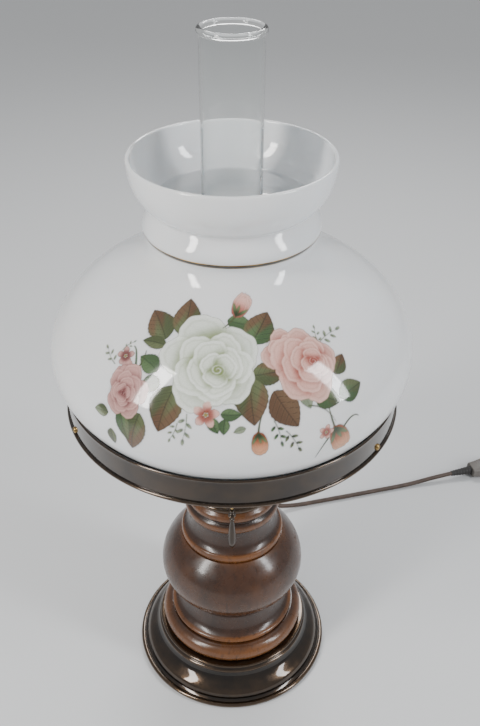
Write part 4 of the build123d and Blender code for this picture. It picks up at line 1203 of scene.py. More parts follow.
# ---------------------------------------------------------------- shade
@dataclass
class Shade:
    """The opal globe with its waisted neck and flared mouth."""

    radius: float = 140.0
    rise: float = 84.5
    fall: float = 77.0
    wall: float = 3.0
    fitter: float = 117.5
    neck: float = 60.8
    bead: float = 64.4
    waist: float = 58.5
    mouth: float = 73.3
    crown: float = math.radians(47.7)
    line_level: float = 6.1
    line_width: float = 3.7
    film: float = 0.05

    def side(self, inset: float) -> np.ndarray:
        """Outside of the glass from its rim to its mouth, moved inwards by the inset.

        Two elliptical arcs make the globe, and four Bezier curves its neck, bead, waist and mouth.

        Args:
            inset: how far inside the outer face.

        Returns:
            The outline, one point a row.
        """
        rim, lip = levels("opal_shade")
        drop = math.acos(self.fitter / self.radius)
        middle = rim + self.fall * math.sin(drop)
        neck_level = middle + self.rise + 7.0
        wide, fall, rise = self.radius - inset, self.fall - inset, self.rise - inset
        start = math.asin((middle - rim) / fall)
        low_globe = oval((0, middle), wide, fall, -start, 0)
        high_globe = oval((0, middle), wide, rise, 0, self.crown)
        slope = np.array([-wide * math.sin(self.crown), rise * math.cos(self.crown)])
        neck, bead = self.neck - inset, self.bead - inset
        waist = np.array([self.waist - 0.55 * inset, neck_level + 25.5 + 0.83 * inset])
        return joined(
            low_globe,
            high_globe,
            cubic(
                high_globe[-1], high_globe[-1] + 0.17 * slope, (neck, neck_level - 9.0), (neck, neck_level),
            ),
            cubic(
                (neck, neck_level), (neck, neck_level + 4.5),
                (bead, neck_level + 5.0), (bead, neck_level + 10.5),
            ),
            cubic((bead, neck_level + 10.5), (bead, neck_level + 17.0), waist - (2.4, 1.6), waist),
            cubic(
                waist, waist + (6.0, 4.0),
                (self.mouth - inset - 0.5, neck_level + 38.0), (self.mouth - inset, lip),
            ),
        )

    def neck_foot(self) -> float:
        """Level where the neck starts."""
        rim, _ = levels("opal_shade")
        return rim + self.fall * math.sin(math.acos(self.fitter / self.radius)) + self.rise + 7.0

    def build(self, shop: Workshop) -> None:
        """Makes the glass and the gilt line round its neck.

        Args:
            shop: the finishes.
        """
        _, lip = levels("opal_shade")
        round_lip = lip - self.wall / 2
        outer, inner = self.side(0), self.side(self.wall)
        outer, inner = outer[outer[:, 1] < round_lip], inner[inner[:, 1] < round_lip]
        edge = arc(outer[-1], (self.mouth - self.wall / 2, lip), inner[-1])
        outline = joined(outer, edge[1:-1], inner[::-1])
        glass = lathe("opal_globe", outline, steps=288, reach=2.8, turn=7.0, blur=0.4)
        shop.hand_over(glass, "opal_glass", "opal_shade", body="shade")
        self.gilt_line(shop)

    def gilt_line(self, shop: Workshop) -> None:
        """Makes the painted line: a thin film between two levels, over the glass's own curve.

        Args:
            shop: the finishes.
        """
        middle = self.neck_foot() + self.line_level
        skin = self.side(-self.film)
        length = along(skin)
        centre = np.interp(middle, skin[200:, 1], length[200:])
        walk = centre + self.line_width * np.linspace(-0.5, 0.5, 13)
        top = np.column_stack([np.interp(walk, length, column) for column in skin.T])
        under = top - np.column_stack([np.ones(13), np.zeros(13)]) * self.film * 0.8
        section = np.vstack([top, under[::-1]])
        share = np.concatenate([np.linspace(0, 1, 13), np.linspace(1, 0, 13)])
        angle = np.arange(256) * FULL_TURN / 256
        grid = np.stack(
            [section[:, :1] * np.cos(angle), section[:, :1] * np.sin(angle), section[:, 1:] + 0 * angle], -1
        )
        line = surface("gilt_line", grid, True, True, {"across": share[:, None] + 0 * angle})
        shop.hand_over(line, "opal_glass", body="shade", coat="gilt_line")


def tone(red: int, green: int, blue: int) -> np.ndarray:
    """A paint colour from screen values up to 255, in linear light."""
    return (np.array([red, green, blue]) / 255.0) ** 2.2


def rising(value: np.ndarray, low: float, high: float) -> np.ndarray:
    """Smooth step from 0 at the low value to 1 at the high one: 3t squared less 2t cubed."""
    t = np.clip((value - low) / (high - low), 0, 1)
    return t * t * (3 - 2 * t)


@dataclass(frozen=True, eq=False)
class Palette:
    """The tones of one kind of petal or leaf."""

    body: np.ndarray
    light: np.ndarray
    deep: np.ndarray
    line: np.ndarray
    cover: float = 0.92


class Tint(Enum):
    """The enamel palettes of the bouquet."""

    IVORY = Palette(tone(214, 222, 204), tone(244, 247, 240), tone(112, 128, 66), tone(122, 126, 84), 0.88)
    ROSE = Palette(tone(206, 136, 120), tone(236, 196, 184), tone(142, 66, 58), tone(128, 66, 58), 0.9)
    MAUVE = Palette(tone(172, 118, 114), tone(212, 170, 162), tone(98, 52, 54), tone(90, 50, 54), 0.92)
    APRICOT = Palette(tone(190, 116, 76), tone(222, 164, 126), tone(122, 56, 36), tone(104, 54, 38), 0.93)
    RUSSET = Palette(tone(92, 68, 50), tone(118, 94, 70), tone(50, 38, 28), tone(48, 36, 26), 0.95)
    MOSS = Palette(tone(74, 82, 54), tone(112, 120, 84), tone(40, 48, 30), tone(38, 46, 28), 0.94)
    FERN = Palette(tone(66, 88, 56), tone(104, 128, 86), tone(32, 50, 30), tone(32, 50, 30), 0.93)
    PALE = Palette(tone(120, 132, 104), tone(158, 168, 140), tone(84, 98, 70), tone(84, 98, 70), 0.8)


@dataclass(frozen=True)
class Leaf:
    """A leaf of the bouquet: its middle on the globe, which way it points, its size and its two tones."""

    azimuth: float
    rise: float
    heading: float
    length: float
    half: float
    near: Tint
    far: Tint


@dataclass
class Bouquet:
    """The rose spray on the globe's front, painted point by point on a fine film over the glass.

    A place is an azimuth in degrees from the front, to the right, and a rise in millimetres along
    the glass from its widest line. Each flower is painted in its own plane, x to the right and y up.
    """

    shade: Shade
    cell: float = 0.55
    left: float = -48.0
    right: float = 47.0
    low: float = -17.0
    high: float = 121.0
    seed: int = 11

    def __post_init__(self) -> None:
        """Lays out the film's grid and its empty paint."""
        self.random = np.random.default_rng(self.seed)
        skin = self.shade.side(-self.shade.film)
        self.skin, self.length = skin, along(skin)
        self.length -= self.length[np.argmax(skin[:, 0])]
        rows = int((self.high - self.low) / self.cell)
        columns = int(math.radians(self.right - self.left) * self.shade.radius / self.cell)
        self.shape = (rows, columns)
        angle, rise = np.meshgrid(
            np.radians(np.linspace(self.left, self.right, columns)),
            np.linspace(self.low, self.high, rows),
        )
        self.grid = self.at(angle, rise)
        self.points = self.grid.reshape(-1, 3)
        self.paint = np.ones((len(self.points), 3)) * Tint.IVORY.value.light
        self.cover = np.zeros(len(self.points))

    def at(self, angle: np.ndarray, rise: np.ndarray) -> np.ndarray:
        """Points on the film: the outline at that rise, turned to that angle from the front."""
        radius = np.interp(rise, self.length, self.skin[:, 0])
        height = np.interp(rise, self.length, self.skin[:, 1])
        return np.stack([radius * np.sin(angle), -radius * np.cos(angle), height], -1)

    def patch(self, azimuth: float, rise: float, reach: float, turn: float = 0.0) -> tuple[np.ndarray, ...]:
        """The film's points near a place, in a plane that touches the glass there.

        Args:
            azimuth: the place's azimuth.
            rise: the place's rise.
            reach: how far around the place.
            turn: how far the plane's x axis is turned to the left, in degrees.

        Returns:
            The points' numbers, and their x and y in millimetres.
        """
        angle = math.radians(azimuth)
        centre = self.at(angle, rise)
        east = np.array([math.cos(angle), math.sin(angle), 0.0])
        north = self.at(angle, rise + 0.5) - self.at(angle, rise - 0.5)
        north /= np.linalg.norm(north)
        away = self.points - centre
        near = np.nonzero(np.einsum("ij,ij->i", away, away) < reach * reach)[0]
        x, y = away[near] @ east, away[near] @ north
        cos, sin = math.cos(math.radians(turn)), math.sin(math.radians(turn))
        return near, x * cos + y * sin, y * cos - x * sin

    def lay(self, near: np.ndarray, mask: np.ndarray, colour: np.ndarray) -> None:
        """Lays paint over what is there: each point keeps the share that the mask leaves.

        Args:
            near: the points' numbers.
            mask: how much of the new paint each takes.
            colour: one colour, or one a point.
        """
        colour = np.broadcast_to(colour, (len(near), 3))
        kept = self.cover[near] * (1 - mask)
        total = np.maximum(kept + mask, 1e-6)
        self.paint[near] = (self.paint[near] * kept[:, None] + colour * mask[:, None]) / total[:, None]
        self.cover[near] = kept + mask

    def petal(
        self, near: np.ndarray, x: np.ndarray, y: np.ndarray, middle: tuple, heading: float,
        half_length: float, half_width: float, palette: Palette, fold: float = 0.5,
    ) -> None:
        """Paints one petal: an oval, broad and waved at its tip, dark at its root, with a light rolled edge.

        A point's distance from the middle, over the outline's distance in its direction, is its depth.
        The outline is 1 + 0.12 cos a plus small waves near the tip, where a is the angle from the tip.

        Args:
            near: numbers of the points.
            x: their x.
            y: their y.
            middle: the petal's middle.
            heading: which way its tip points, in radians.
            half_length: half its length.
            half_width: half its width.
            palette: its tones.
            fold: how light its rolled edge is.
        """
        dx, dy = x - middle[0], y - middle[1]
        u = (dx * math.cos(heading) + dy * math.sin(heading)) / half_length
        v = (dy * math.cos(heading) - dx * math.sin(heading)) / half_width
        angle = np.arctan2(v, u)
        phase, beat = self.random.uniform(0, FULL_TURN), self.random.uniform(3.5, 5.5)
        tip = 0.5 + 0.5 * np.cos(angle)
        waves = 0.05 * np.sin(beat * angle + phase) + 0.02 * np.sin(11 * angle)
        edge = 1 + 0.12 * np.cos(angle) + tip * waves
        depth = 1 - np.hypot(u, v) / edge
        inside = depth * min(half_length, half_width)
        mask = rising(inside, -0.15, 0.45) * palette.cover
        root = rising(-u, -0.5, 0.45)
        streak = (0.5 + 0.5 * np.sin(13 * v + 2.5 * np.sin(3 * u + phase))) * rising(-u, -0.7, 0.6)
        rolled = np.exp(-((depth - 0.08) ** 2) / 0.012) * tip * fold
        crease = np.exp(-((depth - 0.26) ** 2) / 0.003) * tip * 0.35 * fold
        colour = palette.body + (palette.light - palette.body) * rising(u, -0.5, 0.8)[:, None] * 0.7
        colour = colour + (palette.deep - colour) * (0.72 * root + 0.16 * streak)[:, None]
        colour = colour + (palette.deep - colour) * crease[:, None]
        colour = colour + (palette.light - colour) * np.clip(rolled, 0, 1)[:, None]
        rim = np.exp(-((inside / 0.3) ** 2)) * 0.38
        colour = colour + (palette.line - colour) * rim[:, None]
        self.lay(near, mask, colour)

    def glow(
        self, near: np.ndarray, distance: np.ndarray, reach: float, share: float, colour: np.ndarray,
    ) -> None:
        """Lays a soft round shadow that fades out at its reach."""
        self.lay(near, share * rising(reach - distance, 0, 0.42 * reach), colour)

    def rose(
        self, azimuth: float, rise: float, radius: float, palette: Palette, heart: tuple, turn: float,
        squeeze: float = 1.0,
    ) -> None:
        """Paints an open rose: four rings of petals, each smaller and nearer the heart, then a coiled heart.

        Args:
            azimuth: where its middle is.
            rise: where its middle is.
            radius: its reach.
            palette: its tones.
            heart: how far its heart lies from its middle.
            turn: how far it is turned, in degrees.
            squeeze: its width over its height.
        """
        near, x, y = self.patch(azimuth, rise, 1.4 * radius)
        x = x / squeeze
        rings = ((5, 0.60, 0.42, 0.47), (5, 0.42, 0.36, 0.40), (4, 0.27, 0.28, 0.36), (3, 0.14, 0.22, 0.27))
        for number, (count, distance, length, width) in enumerate(rings):
            share = number / (len(rings) - 1)
            middle = np.array(heart) * share
            reach = (distance + length) * radius * 1.22
            distances = np.hypot(x - middle[0], y - middle[1])
            self.glow(near, distances, reach, 0.85 * min(1.0, 2 * share), palette.deep)
            order = self.random.permutation(count)
            for petal in order:
                wander = self.random.uniform(-0.12, 0.12, 3)
                angle = math.radians(turn) + number * 0.7 + (petal + wander[0]) * FULL_TURN / count
                spot = middle + distance * radius * np.array([math.cos(angle), math.sin(angle)])
                self.petal(
                    near, x, y, spot, angle + wander[1], length * radius * (1 + wander[1]),
                    width * radius * (1 + wander[2]), palette, 0.55 + 0.3 * share,
                )
        self.coil(near, x - heart[0], y - heart[1], 0.2 * radius, palette)

    def coil(self, near: np.ndarray, x: np.ndarray, y: np.ndarray, reach: float, palette: Palette) -> None:
        """Paints a rose's heart: dark bands where the radius and the angle wind together."""
        distance = np.hypot(x, 1.25 * y)
        wind = np.sin(FULL_TURN * distance / (0.42 * reach) + np.arctan2(y, x))
        fade = rising(reach - distance, 0, 0.6 * reach)
        self.lay(near, 0.75 * fade * rising(wind, 0.1, 0.9), palette.deep)
        self.lay(near, 0.55 * fade * rising(-wind, 0.5, 1.0), palette.light)
        self.lay(near, 0.8 * rising(0.28 * reach - distance, 0, 0.2 * reach), palette.line)

    def leaf(self, leaf: Leaf) -> None:
        """Paints a leaf: two bowed sides to a point, a midrib, bowed veins and a fine toothed edge.

        Its half width at u along it is the half width times sin(pi u to the 0.8) to the 0.85.

        Args:
            leaf: what is painted.
        """
        near, x, y = self.patch(leaf.azimuth, leaf.rise, leaf.length, leaf.heading)
        u = x / leaf.length + 0.5
        bow = 0.1 * leaf.length * (u - 0.5) ** 2
        v = (y - bow) / leaf.half
        within = np.clip(u, 0, 1)
        width = np.sin(math.pi * within**0.8) ** 0.85
        teeth = 1 + 0.018 * np.sin(58 * within + 2 * np.abs(v))
        inside = (width * teeth - np.abs(v)) * leaf.half * 0.75
        inside = np.where((u < 0) | (u > 1), -1.0, inside)
        mask = rising(inside, -0.1, 0.4)
        first, second = leaf.near.value, leaf.far.value
        blend = rising(u + 0.25 * v + 0.12 * np.sin(9 * v + 5 * u), 0.25, 0.8)[:, None]
        colour = first.body * (1 - blend) + second.body * blend
        light = first.light * (1 - blend) + second.light * blend
        deep = first.deep * (1 - blend) + second.deep * blend
        side = rising(v, -0.3, 0.5)[:, None]
        colour = colour + (light - colour) * (0.55 * side)
        between = 0.5 + 0.5 * np.cos(FULL_TURN * (6.5 * u - 1.7 * np.abs(v) ** 1.2))
        colour = colour + (light - colour) * (0.25 * between * (1 - np.abs(v)))[:, None]
        vein = rising(between, 0.93, 1.0) * rising(0.95 - np.abs(v), 0, 0.3)
        colour = colour + (deep - colour) * (0.55 * vein)[:, None]
        midrib = np.exp(-((v * leaf.half / 0.32) ** 2))
        colour = colour + (deep - colour) * (0.7 * midrib)[:, None]
        rim = np.exp(-((inside / 0.45) ** 2)) * 0.55
        colour = colour + (deep - colour) * rim[:, None]
        self.lay(near, mask * first.cover, colour)

    def stroke(self, azimuth: float, rise: float, path: list, width: float, palette: Palette) -> None:
        """Paints a stem or tendril: a curve through three points that thins towards its end.

        Args:
            azimuth: where its plane touches the glass.
            rise: where its plane touches the glass.
            path: start, pull and end of the curve, in that plane.
            width: its width at its start.
            palette: its tones.
        """
        start, pull, end = (np.array(p, float) for p in path)
        t = np.linspace(0, 1, 40)[:, None]
        line = (1 - t) ** 2 * start + 2 * t * (1 - t) * pull + t * t * end
        near, x, y = self.patch(azimuth, rise, np.linalg.norm(line, axis=1).max() + 2)
        gaps = np.hypot(x[:, None] - line[:, 0], y[:, None] - line[:, 1])
        nearest = gaps.argmin(axis=1)
        thick = width * (1 - 0.6 * nearest / 39)
        self.lay(near, 0.9 * rising(thick - gaps.min(axis=1), -0.3, 0.35), palette.body)

    def bud(self, azimuth: float, rise: float, heading: float, length: float, palette: Palette) -> None:
        """Paints a bud: three lapped petals in a cup, its sepals and its stem.

        Args:
            azimuth: where its middle is.
            rise: where its middle is.
            heading: which way its tip points, in degrees.
            length: its length.
            palette: its petals' tones.
        """
        near, x, y = self.patch(azimuth, rise, 1.6 * length, heading)
        stem = [turned((-share * length, bow), heading) for share, bow in ((0.4, 0), (0.8, 1), (1.1, 4))]
        self.stroke(azimuth, rise, stem, 0.8, Tint.MOSS.value)
        for across, lean, half in ((0.12, 0.06, 0.52), (-0.13, -0.08, 0.52), (0.0, 0.02, 0.58)):
            self.petal(near, x, y, (0.0, across * length), lean, half * length, 0.22 * length, palette, 0.7)
        for lean, size in ((0.55, 0.34), (-0.6, 0.32), (0.1, 0.26)):
            middle = (-0.42 * length + 0.22 * length * math.cos(lean), 0.24 * length * math.sin(lean))
            self.petal(near, x, y, middle, lean, size * length, 0.075 * length, Tint.FERN.value, 0.2)

    def blossom(self, azimuth: float, rise: float, radius: float, palette: Palette, turn: float) -> None:
        """Paints a small five-petalled flower with a dotted gold-green eye.

        Args:
            azimuth: where its middle is.
            rise: where its middle is.
            radius: its reach.
            palette: its tones.
            turn: how far it is turned, in degrees.
        """
        near, x, y = self.patch(azimuth, rise, 1.3 * radius, turn)
        for number in range(5):
            angle = number * FULL_TURN / 5
            spot = 0.55 * radius * np.array([math.cos(angle), math.sin(angle)])
            self.petal(near, x, y, spot, angle, 0.46 * radius, 0.36 * radius, palette, 0.4)
        self.lay(near, 0.85 * rising(0.2 * radius - np.hypot(x, y), 0, 0.1 * radius), tone(146, 128, 62))
        angle = np.arange(7) * FULL_TURN / 7
        ring = 0.27 * radius
        gaps = np.hypot(x[:, None] - ring * np.cos(angle), y[:, None] - ring * np.sin(angle))
        self.lay(near, 0.8 * rising(0.06 * radius - gaps.min(axis=1), -0.2, 0.2), tone(110, 70, 40))

    def sprig(self, azimuth: float, rise: float, heading: float, length: float, tint: Tint) -> None:
        """Paints a sprig: a thin stem with pairs of small leaves and one at its tip.

        Args:
            azimuth: where its middle is.
            rise: where its middle is.
            heading: which way it points, in degrees.
            length: its length.
            tint: its leaves' tones.
        """
        ends = [turned((share * length, bow), heading) for share, bow in ((-0.5, 0), (0, 1.5), (0.5, 0))]
        self.stroke(azimuth, rise, ends, 0.35, tint.value)
        near, x, y = self.patch(azimuth, rise, length, heading)
        for share, lean in ((0.5, 0.0), (0.22, 0.9), (0.1, -0.9), (-0.16, 1.0), (-0.28, -1.0)):
            spot = (share * length + 0.13 * length * math.cos(lean), 0.17 * length * math.sin(lean))
            self.petal(near, x, y, spot, lean, 0.16 * length, 0.075 * length, tint.value, 0.15)

    def arrange(self) -> None:
        """Paints the whole spray, from the leaves behind to the blossoms in front."""
        russet, moss, fern, pale = Tint.RUSSET, Tint.MOSS, Tint.FERN, Tint.PALE
        for sprig in (
            (-42.5, 50.0, 150, 13, pale),
            (-38.5, 61.0, 60, 9, pale),
            (38.0, 70.0, 10, 16, pale),
            (33.5, 72.5, 75, 11, pale),
            (-13.0, 20.0, -95, 17, pale),
            (-16.0, 16.0, -110, 12, pale),
            (12.5, 17.0, -75, 15, fern),
            (16.5, 9.5, -60, 16, moss),
        ):
            self.sprig(*sprig)
        for leaf in (
            Leaf(-31.0, 84.0, 138, 26, 10.0, moss, russet),
            Leaf(-20.5, 93.5, 96, 28, 10.0, moss, russet),
            Leaf(-29.5, 70.5, 186, 18, 5.0, moss, moss),
            Leaf(-28.0, 56.0, 160, 17, 7.0, fern, fern),
            Leaf(-25.5, 43.0, 210, 15, 6.0, fern, moss),
            Leaf(-19.4, 29.5, -102, 33, 11.5, moss, russet),
            Leaf(-28.0, 7.5, -100, 30, 9.0, moss, russet),
            Leaf(-31.5, 10.0, -70, 24, 5.5, fern, moss),
            Leaf(-39.5, 13.5, 190, 13, 4.6, moss, pale),
            Leaf(-35.5, -4.0, -86, 14, 4.2, moss, moss),
            Leaf(3.5, 92.0, -15, 17, 6.5, fern, fern),
            Leaf(12.0, 87.5, 55, 27, 10.5, fern, russet),
            Leaf(12.3, 55.5, 3, 24, 8.0, moss, russet),
            Leaf(5.6, 38.5, -88, 32, 11.5, moss, russet),
            Leaf(15.3, 30.5, -62, 29, 10.5, russet, russet),
            Leaf(22.0, 35.0, -80, 15, 5.0, pale, pale),
            Leaf(28.5, 31.5, -32, 21, 8.0, fern, moss),
            Leaf(36.3, 49.5, 40, 16, 6.0, moss, russet),
            Leaf(36.8, 30.8, 6, 20, 8.0, fern, moss),
            Leaf(-5.0, 22.5, -62, 12, 4.2, fern, fern),
            Leaf(-2.2, 22.0, -95, 11, 4.0, fern, fern),
            Leaf(-0.2, 30.0, 0, 14, 4.4, fern, fern),
            Leaf(2.0, 20.0, 200, 9, 2.6, pale, pale),
        ):
            self.leaf(leaf)
        self.stroke(-33.0, 50.0, [(3, -3), (-2, 12), (-6, 13)], 0.9, fern.value)
        self.stroke(-33.0, 50.0, [(3, -3), (6, 6), (4, 13)], 0.8, moss.value)
        self.stroke(24.0, 22.0, [(-4, 8), (8, 6), (14, -8)], 0.5, moss.value)
        self.rose(-34.0, 44.0, 9.0, Tint.MAUVE.value, (1.5, -1.0), 40)
        self.rose(-32.3, 33.0, 17.5, Tint.MAUVE.value, (-2.5, -1.5), 10, 0.86)
        self.rose(20.0, 66.0, 17.0, Tint.ROSE.value, (-2.0, 3.0), 25)
        self.rose(24.5, 57.0, 24.5, Tint.ROSE.value, (7.0, 0.5), 75, 0.92)
        self.rose(-8.0, 63.5, 31.5, Tint.IVORY.value, (6.5, -4.5), 30)
        self.blossom(-7.3, 29.5, 8.5, Tint.ROSE.value, 12)
        self.blossom(-37.4, 54.5, 6.5, Tint.MAUVE.value, 40)
        self.bud(4.2, 104.0, 62, 17, Tint.ROSE.value)
        self.bud(7.4, 10.5, -84, 16, Tint.APRICOT.value)
        self.bud(30.9, 1.0, -66, 22, Tint.APRICOT.value)
        self.blossom(26.5, 8.5, 5.5, Tint.ROSE.value, 70)
        self.stroke(34.0, 10.0, [(-4, -2), (4, 6), (9, 1)], 0.8, moss.value)
        self.stroke(25.5, -6.0, [(4, 9), (-2, 2), (-4, -6)], 0.7, moss.value)

    def build(self, shop: Workshop) -> None:
        """Paints the spray and makes its film, leaving out the cells with no paint.

        Args:
            shop: the finishes.
        """
        self.arrange()
        rows, columns = self.shape
        faces = grid_faces(rows, columns, False, False)
        painted = self.cover[faces].max(axis=1) > 0.01
        faces = faces[painted]
        used, packed = np.unique(faces, return_inverse=True)
        film_faces = packed.reshape(-1, 4)
        place = np.column_stack([used % columns / (columns - 1), used // columns / (rows - 1)])
        film = mesh_piece("rose_spray", self.points[used], film_faces, place[film_faces])
        paint = film.data.attributes.new("paint", "FLOAT_COLOR", "POINT")
        rgba = np.column_stack([self.paint[used], np.ones(len(used))])
        paint.data.foreach_set("color", rgba.astype(np.float32).ravel())
        cover = film.data.attributes.new("cover", "FLOAT", "POINT")
        cover.data.foreach_set("value", self.cover[used].astype(np.float32))
        log.info("rose_spray has %d cells", len(film_faces))
        shop.hand_over(film, "opal_glass", body="shade", coat="fired_paint")


def turned(point: tuple, degrees: float) -> tuple[float, float]:
    """A point turned to the left about the origin."""
    cos, sin = math.cos(math.radians(degrees)), math.sin(math.radians(degrees))
    return point[0] * cos - point[1] * sin, point[0] * sin + point[1] * cos


# ---------------------------------------------------------------- chimney, chain and fob
@dataclass
class Chimney:
    """The glass tube with a rolled lip."""

    radius: float = 21.6
    wall: float = 1.6
    bead: float = 2.2

    def build(self, shop: Workshop) -> None:
        """Makes the tube.

        Args:
            shop: the finishes.
        """
        low, top = levels("chimney")
        inside = self.radius - self.wall
        centre = (self.radius - 0.6, top - self.bead)
        turn = math.acos(0.6 / self.bead)
        inner_turn = math.pi + math.acos((self.wall - 0.6) / self.bead)
        outline = joined(
            (inside, low), (self.radius, low), ring_points(centre, self.bead, -turn, inner_turn, 40)
        )
        tube = lathe("glass_chimney", outline, steps=96, blur=0.2, reach=8.0)
        shop.hand_over(tube, "clear_glass", "chimney", body="chimney")


@dataclass
class Chain:
    """The beaded pull chain and its fob: a small brass bell over a dark turned drop."""

    ball: float = 1.2
    link: float = 0.4
    pitch: float = 3.4
    bell_mouth: float = 3.4
    drop_radius: float = 3.4
    drop_belly: float = 10.36

    def beads(self, length: float) -> np.ndarray:
        """Outline of a hanging chain: half circles of the ball's radius, a pitch apart, on a thin link."""
        count = max(1, int(length / self.pitch + 0.5))
        reach = math.acos(self.link / self.ball)
        starts = [
            ring_points((0, (number + 0.5) * length / count), self.ball, -reach, reach, 12)
            for number in range(count)
        ]
        return joined((0, 0), (self.link, 0), *starts, (self.link, length), (0, length))

    def strand(self, node: str) -> bpy.types.Object:
        """Makes one hanging length of chain where its CAD node is."""
        low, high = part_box(node)
        foot = ((low.x + high.x) / 2 / MM, (low.y + high.y) / 2 / MM, low.z / MM)
        outline = self.beads((high.z - low.z) / MM)
        return lathe(
            f"beads_of_{node}", outline, Seat(foot), closed=False, steps=20, blur=0.02, reach=1.0, turn=24,
        )

    def bell(self, height: float) -> np.ndarray:
        """Outline of the bell: a small knob, a flared skirt and a rim, closed under."""
        mouth = self.bell_mouth
        return joined(
            (0, 0), (mouth - 0.7, 0), (mouth, 0.3), (mouth, 1.0), (mouth - 0.4, 1.3),
            cubic((mouth - 0.5, 1.4), (mouth - 1.0, 3.2), (1.5, 3.0), (1.35, height - 1.8)),
            arc((1.35, height - 1.8), (1.9, height - 1.0), (1.2, height - 0.1), 8),
            (0, height),
        )

    def drop(self, height: float, shoulder: float) -> np.ndarray:
        """Outline of the drop: a pointed foot, a belly and a long taper to a collar and its stem."""
        wide, belly = self.drop_radius, self.drop_belly
        return joined(
            cubic((0, 0), (1.6, belly - 7.4), (wide, belly - 4.6), (wide, belly)),
            cubic((wide, belly), (wide, belly + 10.0), (2.2, shoulder - 8.0), (1.5, shoulder - 3.0)),
            arc((1.5, shoulder - 2.8), (2.3, shoulder - 1.7), (1.5, shoulder - 0.6), 8),
            (1.0, shoulder), (1.0, height), (0, height),
        )

    def build(self, shop: Workshop) -> None:
        """Makes the chain and the fob.

        Args:
            shop: the finishes.
        """
        shop.hand_over(self.strand("chain_drop"), "old_brass", "chain_drop", body=BODY_OF["chain_drop"])
        shop.hand_over(self.strand("chain_upper"), "old_brass", "chain_upper", body=BODY_OF["chain_upper"])
        bell_low, bell_high = levels("fob_bell")
        drop_low, drop_high = levels("fob_drop")
        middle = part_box("fob_bell")
        across = [(middle[0][axis] + middle[1][axis]) / 2 / MM for axis in (0, 1)]
        bell = lathe(
            "fob_brass_bell", self.bell(bell_high - bell_low), Seat((*across, bell_low)),
            closed=False, steps=48, blur=0.1, reach=0.6, turn=12, ridge_width=2.0,
        )
        shop.hand_over(bell, SLOT_OF["fob_bell"], "fob_bell", body=BODY_OF["fob_bell"])
        shoulder = bell_low - drop_low - 3.2
        drop = lathe(
            "fob_turned_drop", self.drop(drop_high - drop_low, shoulder), Seat((*across, drop_low)),
            closed=False, steps=48, blur=0.15, reach=0.8, turn=10, ridge_width=3.0,
        )
        shop.hand_over(drop, SLOT_OF["fob_drop"], "fob_drop", body=BODY_OF["fob_drop"])


